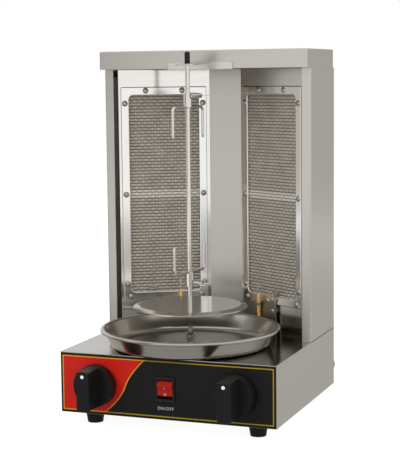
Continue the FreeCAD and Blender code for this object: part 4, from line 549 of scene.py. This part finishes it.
# Every second wire swings the other way, so each kind is laid in two sets
def wovenNet(look):
    across, up = look["across"], look["up"]
    low = -(look["rows"] - 1) / 2 * up
    left = -(look["columns"] - 1) / 2 * across
    wires = []
    for start, sign in ((0, 1), (1, -1)):
        weft = crimpedWire(look["columns"], across, look["weftSides"], look["weftSteps"], look["weftHalf"],
                           sign * look["weftSwing"])
        weft.rotation_euler = (0, math.radians(90), 0)
        weftCount = (look["rows"] + 1 - start) // 2
        wires.append(laid(weft, (0, 0, low + start * up), weftCount, (0, 0, 2 * up)))
        warp = crimpedWire(look["rows"], up, look["warpSides"], look["warpSteps"], look["warpHalf"],
                           -sign * look["warpSwing"])
        warpCount = (look["columns"] + 1 - start) // 2
        wires.append(laid(warp, (left + start * across, 0, 0), warpCount, (2 * across, 0, 0)))
    pick(wires[0])
    for wire in wires[1:]:
        wire.select_set(True)
    bpy.ops.object.join()
    bpy.ops.object.shade_smooth()
    return wires[0]


# A place on a wing, the right one's side being 1 and the left one's -1
def onWing(side, along, behind, rise):
    return (
        side * (net["corner"][0] + along * math.cos(wingTurn) + behind * math.sin(wingTurn)),
        net["corner"][1] - along * math.sin(wingTurn) + behind * math.cos(wingTurn),
        rise)


# Heat-stained steel wire: dull warm grey, with painted shade that darkens it deep in the weave, bright
# beside the plaques' joint
netLook = {
    "dark": "#A49C91", "light": "#CDC6BB", "deep": "#554D44", "bright": "#DAD6CE", "stainScale": 60.0,
    "shadeFrom": 1.9 * mm, "shadeTo": 3.3 * mm, "band": 4.8 * mm,
}
wireSteel, tree, shader = newMaterial("heatStainedWire", Metallic=0.3, Roughness=0.58)
place = addNode(tree, "TexCoord").outputs["Object"]
stain = addNode(tree, "TexNoise", None, {
    "Vector": place, "Scale": netLook["stainScale"], "Detail": 3.0})
stained = addNode(tree, "Mix", {"data_type": "RGBA"}, {
    "Factor": stain.outputs["Fac"], "A": toLinear(netLook["dark"]), "B": toLinear(netLook["light"])})
height = addNode(tree, "SeparateXYZ", None, {"Vector": place}).outputs["Z"]
offJoint = addNode(tree, "Math", {"operation": "SUBTRACT"}, {0: height, 1: net["rise"]})
away = addNode(tree, "Math", {"operation": "ABSOLUTE"}, {0: offJoint.outputs["Value"]})
inBand = addNode(tree, "Math", {"operation": "LESS_THAN"}, {0: away.outputs["Value"], 1: netLook["band"]})
banded = addNode(tree, "Mix", {"data_type": "RGBA"}, {
    "Factor": inBand.outputs["Value"], "A": stained.outputs["Result"], "B": toLinear(netLook["bright"])})
# painted shade: the further a wire lies behind the wing's front, the closer it turns to the deep colour
eitherSide = addNode(tree, "VectorMath", {"operation": "ABSOLUTE"}, {0: place})
fromCorner = addNode(tree, "VectorMath", {"operation": "SUBTRACT"}, {
    0: eitherSide.outputs["Vector"], 1: (*net["corner"], 0)})
behind = addNode(tree, "VectorMath", {"operation": "DOT_PRODUCT"}, {
    0: fromCorner.outputs["Vector"], 1: (math.sin(wingTurn), math.cos(wingTurn), 0)})
paintedShadeDepth = addNode(tree, "MapRange", None, {
    "Value": behind.outputs["Value"], "From Min": netLook["shadeFrom"], "From Max": netLook["shadeTo"]})
wireColour = addNode(tree, "Mix", {"data_type": "RGBA"}, {
    "Factor": paintedShadeDepth.outputs["Result"], "A": banded.outputs["Result"], "B": toLinear(netLook["deep"])})
tree.links.new(wireColour.outputs["Result"], shader.inputs["Base Color"])

rightNet = wovenNet(net)
pick(rightNet)
bpy.ops.object.duplicate()
leftNet = bpy.context.object
for piece, name, side in ((rightNet, "rightNet", 1), (leftNet, "leftNet", -1)):
    piece.rotation_euler = (0, 0, -side * wingTurn)
    piece.location = onWing(side, net["burnerAlong"], net["depth"], net["rise"])
    settle(piece, name, "frame", wireSteel)
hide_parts("right_burner_mesh")
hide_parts("left_burner_mesh")
print("nets woven:", len(rightNet.data.polygons), "faces each")

# Torn and folded ends of the nets' edging, thin bright sheet that shows over the frames' lower borders:
# along the wing, height, forward of the sheet, turn in its plane, width and height
tabs = {
    "rightNetTab": {"side": 1, "along": 68.5 * mm, "rise": 139.8 * mm, "front": 3.3 * mm, "lean": 12.0,
                    "size": (12.5 * mm, 14.5 * mm), "crumple": 2.2 * mm, "finish": guideSteel},
    "rightNetFlap": {"side": 1, "along": 70.0 * mm, "rise": 153.0 * mm, "front": 0.9 * mm, "lean": 24.0,
                     "size": (11.0 * mm, 7.5 * mm), "crumple": 1.2 * mm, "finish": flapSteel},
    "leftNetFlap": {"side": -1, "along": 82.5 * mm, "rise": 153.0 * mm, "front": 0.9 * mm, "lean": 2.0,
                    "size": (12.0 * mm, 5.5 * mm), "crumple": 1.2 * mm, "finish": flapSteel},
}
tabSheet = {"cuts": 12, "creases": 5.0 * mm, "thick": 0.4 * mm}
creases = bpy.data.textures.new("creases", "CLOUDS")
creases.noise_scale = tabSheet["creases"]
for name, tab in tabs.items():
    bpy.ops.object.select_all(action="DESELECT")
    bpy.ops.mesh.primitive_grid_add(
        x_subdivisions=tabSheet["cuts"], y_subdivisions=tabSheet["cuts"], size=1.0)
    piece = bpy.context.object
    piece.scale = (*tab["size"], 1)
    bpy.ops.object.transform_apply(location=False, rotation=False, scale=True)
    crumple = piece.modifiers.new("crumple", "DISPLACE")
    crumple.texture = creases
    crumple.texture_coords = "LOCAL"
    crumple.strength = tab["crumple"]
    sheet = piece.modifiers.new("sheet", "SOLIDIFY")
    sheet.thickness = tabSheet["thick"]
    for modifier in ("crumple", "sheet"):
        bpy.ops.object.modifier_apply(modifier=modifier)
    bpy.ops.object.shade_smooth()
    side = tab["side"]
    upright = Matrix.Rotation(math.radians(90), 4, "X")
    lean = Matrix.Rotation(math.radians(side * tab["lean"]), 4, "Y")
    facing = Matrix.Rotation(-side * wingTurn, 4, "Z")
    at = Matrix.Translation(onWing(side, tab["along"], -tab["front"], tab["rise"]))
    piece.matrix_world = at @ facing @ lean @ upright
    settle(piece, name, "frame", tab["finish"])
print("net edges folded")

# White studio: the backdrop and the floor are plain white to the camera and in the metal,
# and the floor keeps the object's shadow
studio = {
    "white": 1.0, "fill": 0.55, "floor": 8.0, "floorGlow": 0.9, "floorShade": "#C8C8C6",
    "shadowShade": 0.25,
}
world = bpy.data.worlds.new("whiteStudio")
bpy.context.scene.world = world
world.use_nodes = True
floorPaper = bpy.data.materials.new("whiteStudioPaper")
floorPaper.use_nodes = True
for tree, kind in ((world.node_tree, "World"), (floorPaper.node_tree, "Material")):
    tree.nodes.clear()
    rays = addNode(tree, "LightPath")
    seen = addNode(tree, "Math", {"operation": "MAXIMUM"}, {
        0: rays.outputs["Is Camera Ray"], 1: rays.outputs["Is Glossy Ray"]})
    seenThrough = addNode(tree, "Math", {"operation": "MAXIMUM"}, {
        0: seen.outputs["Value"], 1: rays.outputs["Is Transmission Ray"]})
    if kind == "World":
        plain = addNode(tree, "Background", None, {"Color": (1, 1, 1, 1), "Strength": studio["fill"]})
        shown = addNode(tree, "Background", None, {"Color": (1, 1, 1, 1), "Strength": studio["white"]})
        shownShader = shown.outputs["Background"]
        plainShader = plain.outputs["Background"]
    else:
        plain = addNode(tree, "BsdfDiffuse", None, {"Color": toLinear(studio["floorShade"])})
        dim = addNode(tree, "BsdfDiffuse", None, {"Color": (*[studio["shadowShade"]] * 3, 1)})
        glow = addNode(tree, "Emission", None, {"Color": (1, 1, 1, 1), "Strength": studio["floorGlow"]})
        lit = addNode(tree, "AddShader", None, {0: dim.outputs["BSDF"], 1: glow.outputs["Emission"]})
        shownShader = lit.outputs["Shader"]
        plainShader = plain.outputs["BSDF"]
    mixed = addNode(tree, "MixShader", None, {
        0: seenThrough.outputs["Value"], 1: plainShader, 2: shownShader})
    addNode(tree, "Output" + kind, None, {"Surface": mixed.outputs["Shader"]})
bpy.ops.object.select_all(action="DESELECT")
bpy.ops.mesh.primitive_plane_add(size=studio["floor"], location=(0, 0, 0))
floor = bpy.context.object
floor.name = "studioFloor"
floor.data.materials.append(floorPaper)

# Three soft boxes aimed at the grill's middle
aim = Vector((0, 0, 0.24))
lamps = {
    "keyBox": {"at": (-1.3, -1.9, 1.9), "size": 1.6, "power": 34.0},
    "sideBox": {"at": (2.1, -0.9, 1.3), "size": 1.4, "power": 16.0},
    "topBox": {"at": (0.1, 0.2, 2.5), "size": 1.8, "power": 26.0},
}
for name, lamp in lamps.items():
    bpy.ops.object.light_add(type="AREA", location=lamp["at"])
    box = bpy.context.object
    box.name = name
    box.data.shape = "SQUARE"
    box.data.size = lamp["size"]
    box.data.energy = lamp["power"]
    box.rotation_euler = (aim - Vector(lamp["at"])).to_track_quat("-Z", "Y").to_euler()
    box.visible_glossy = False


# A card that glows in one plain shade, is no lamp, and is seen only in the metal: a painted reflection
def addGlowingReflectionCard(name, at, size, turned, shade):
    bpy.ops.mesh.primitive_plane_add(size=1.0, location=at)
    card = bpy.context.object
    card.name = name
    card.scale = (*size, 1)
    card.rotation_euler = turned
    paper = bpy.data.materials.new(name)
    paper.use_nodes = True
    paper.node_tree.nodes.clear()
    glow = addNode(paper.node_tree, "Emission", None, {"Color": (*shade, 1), "Strength": 1.0})
    addNode(paper.node_tree, "OutputMaterial", None, {"Surface": glow.outputs["Emission"]})
    card.data.materials.append(paper)
    card.visible_camera = False
    card.visible_diffuse = False
    card.visible_shadow = False
    card.visible_transmission = False


# Glowing dark and grey cards beside the white studio, seen only in the metal: painted reflections of boards
boardRing = {"away": 2.4, "height": 2.2, "middle": 1.1}
boards = {
    "darkReflectionBoard": {"turn": 40.0, "width": 0.95, "shade": (0.13, 0.105, 0.085)},
    "greyReflectionBoard": {"turn": 83.0, "width": 1.2, "shade": (0.50, 0.48, 0.45)},
    "backReflectionBoard": {"turn": 200.0, "width": 1.9, "shade": (0.66, 0.65, 0.63)},
}
for name, board in boards.items():
    boardTurn = math.radians(board["turn"])
    at = Vector((
        -math.sin(boardTurn) * boardRing["away"],
        -math.cos(boardTurn) * boardRing["away"],
        boardRing["middle"]))
    size = (board["width"], boardRing["height"])
    addGlowingReflectionCard(name, at, size, (math.radians(90), 0, -boardTurn), board["shade"])

# Glowing grey and dark cards on the floor round the grill, seen only in the metal: painted reflections of
# mats
matHeight = 0.4 * mm
mats = {
    "frontReflectionMat": {"size": (2.0, 1.7), "at": (0.8, -0.95), "shade": (0.48, 0.47, 0.46)},
    "backReflectionMat": {"size": (2.0, 1.6), "at": (0.8, 0.7), "shade": (0.68, 0.67, 0.65)},
    "darkReflectionMat": {"size": (1.6, 2.1), "at": (-1.0, 0.45), "shade": (0.19, 0.18, 0.17)},
}
for name, mat in mats.items():
    addGlowingReflectionCard(name, (*mat["at"], matHeight), mat["size"], (0, 0, 0), mat["shade"])
print("studio lit")

# Camera, from the photograph's perspective: focal length in pixels of the 400 x 457 picture
view = {
    "at": (631.7 * mm, -1666.5 * mm, 447.1 * mm), "turn": 20.815, "down": 6.488, "roll": -0.622,
    "focal": 1355.65, "longSide": 457, "sensor": 36.0,
}
turn, down, roll = (math.radians(view[key]) for key in ("turn", "down", "roll"))
ahead = Vector((-math.sin(turn) * math.cos(down), math.cos(turn) * math.cos(down), -math.sin(down)))
level = Vector((math.cos(turn), math.sin(turn), 0))
upward = level.cross(ahead)
right = math.cos(roll) * level + math.sin(roll) * upward
upward = right.cross(ahead)
cameraData = bpy.data.cameras.new("photoCamera")
cameraData.sensor_width = view["sensor"]
cameraData.lens = view["focal"] * view["sensor"] / view["longSide"]
camera = bpy.data.objects.new("photoCamera", cameraData)
bpy.context.scene.collection.objects.link(camera)
camera.matrix_world = Matrix((
    (right.x, upward.x, -ahead.x, view["at"][0]),
    (right.y, upward.y, -ahead.y, view["at"][1]),
    (right.z, upward.z, -ahead.z, view["at"][2]),
    (0, 0, 0, 1)))
bpy.context.scene.camera = camera
bpy.context.scene.view_settings.view_transform = "Standard"
print("camera set")
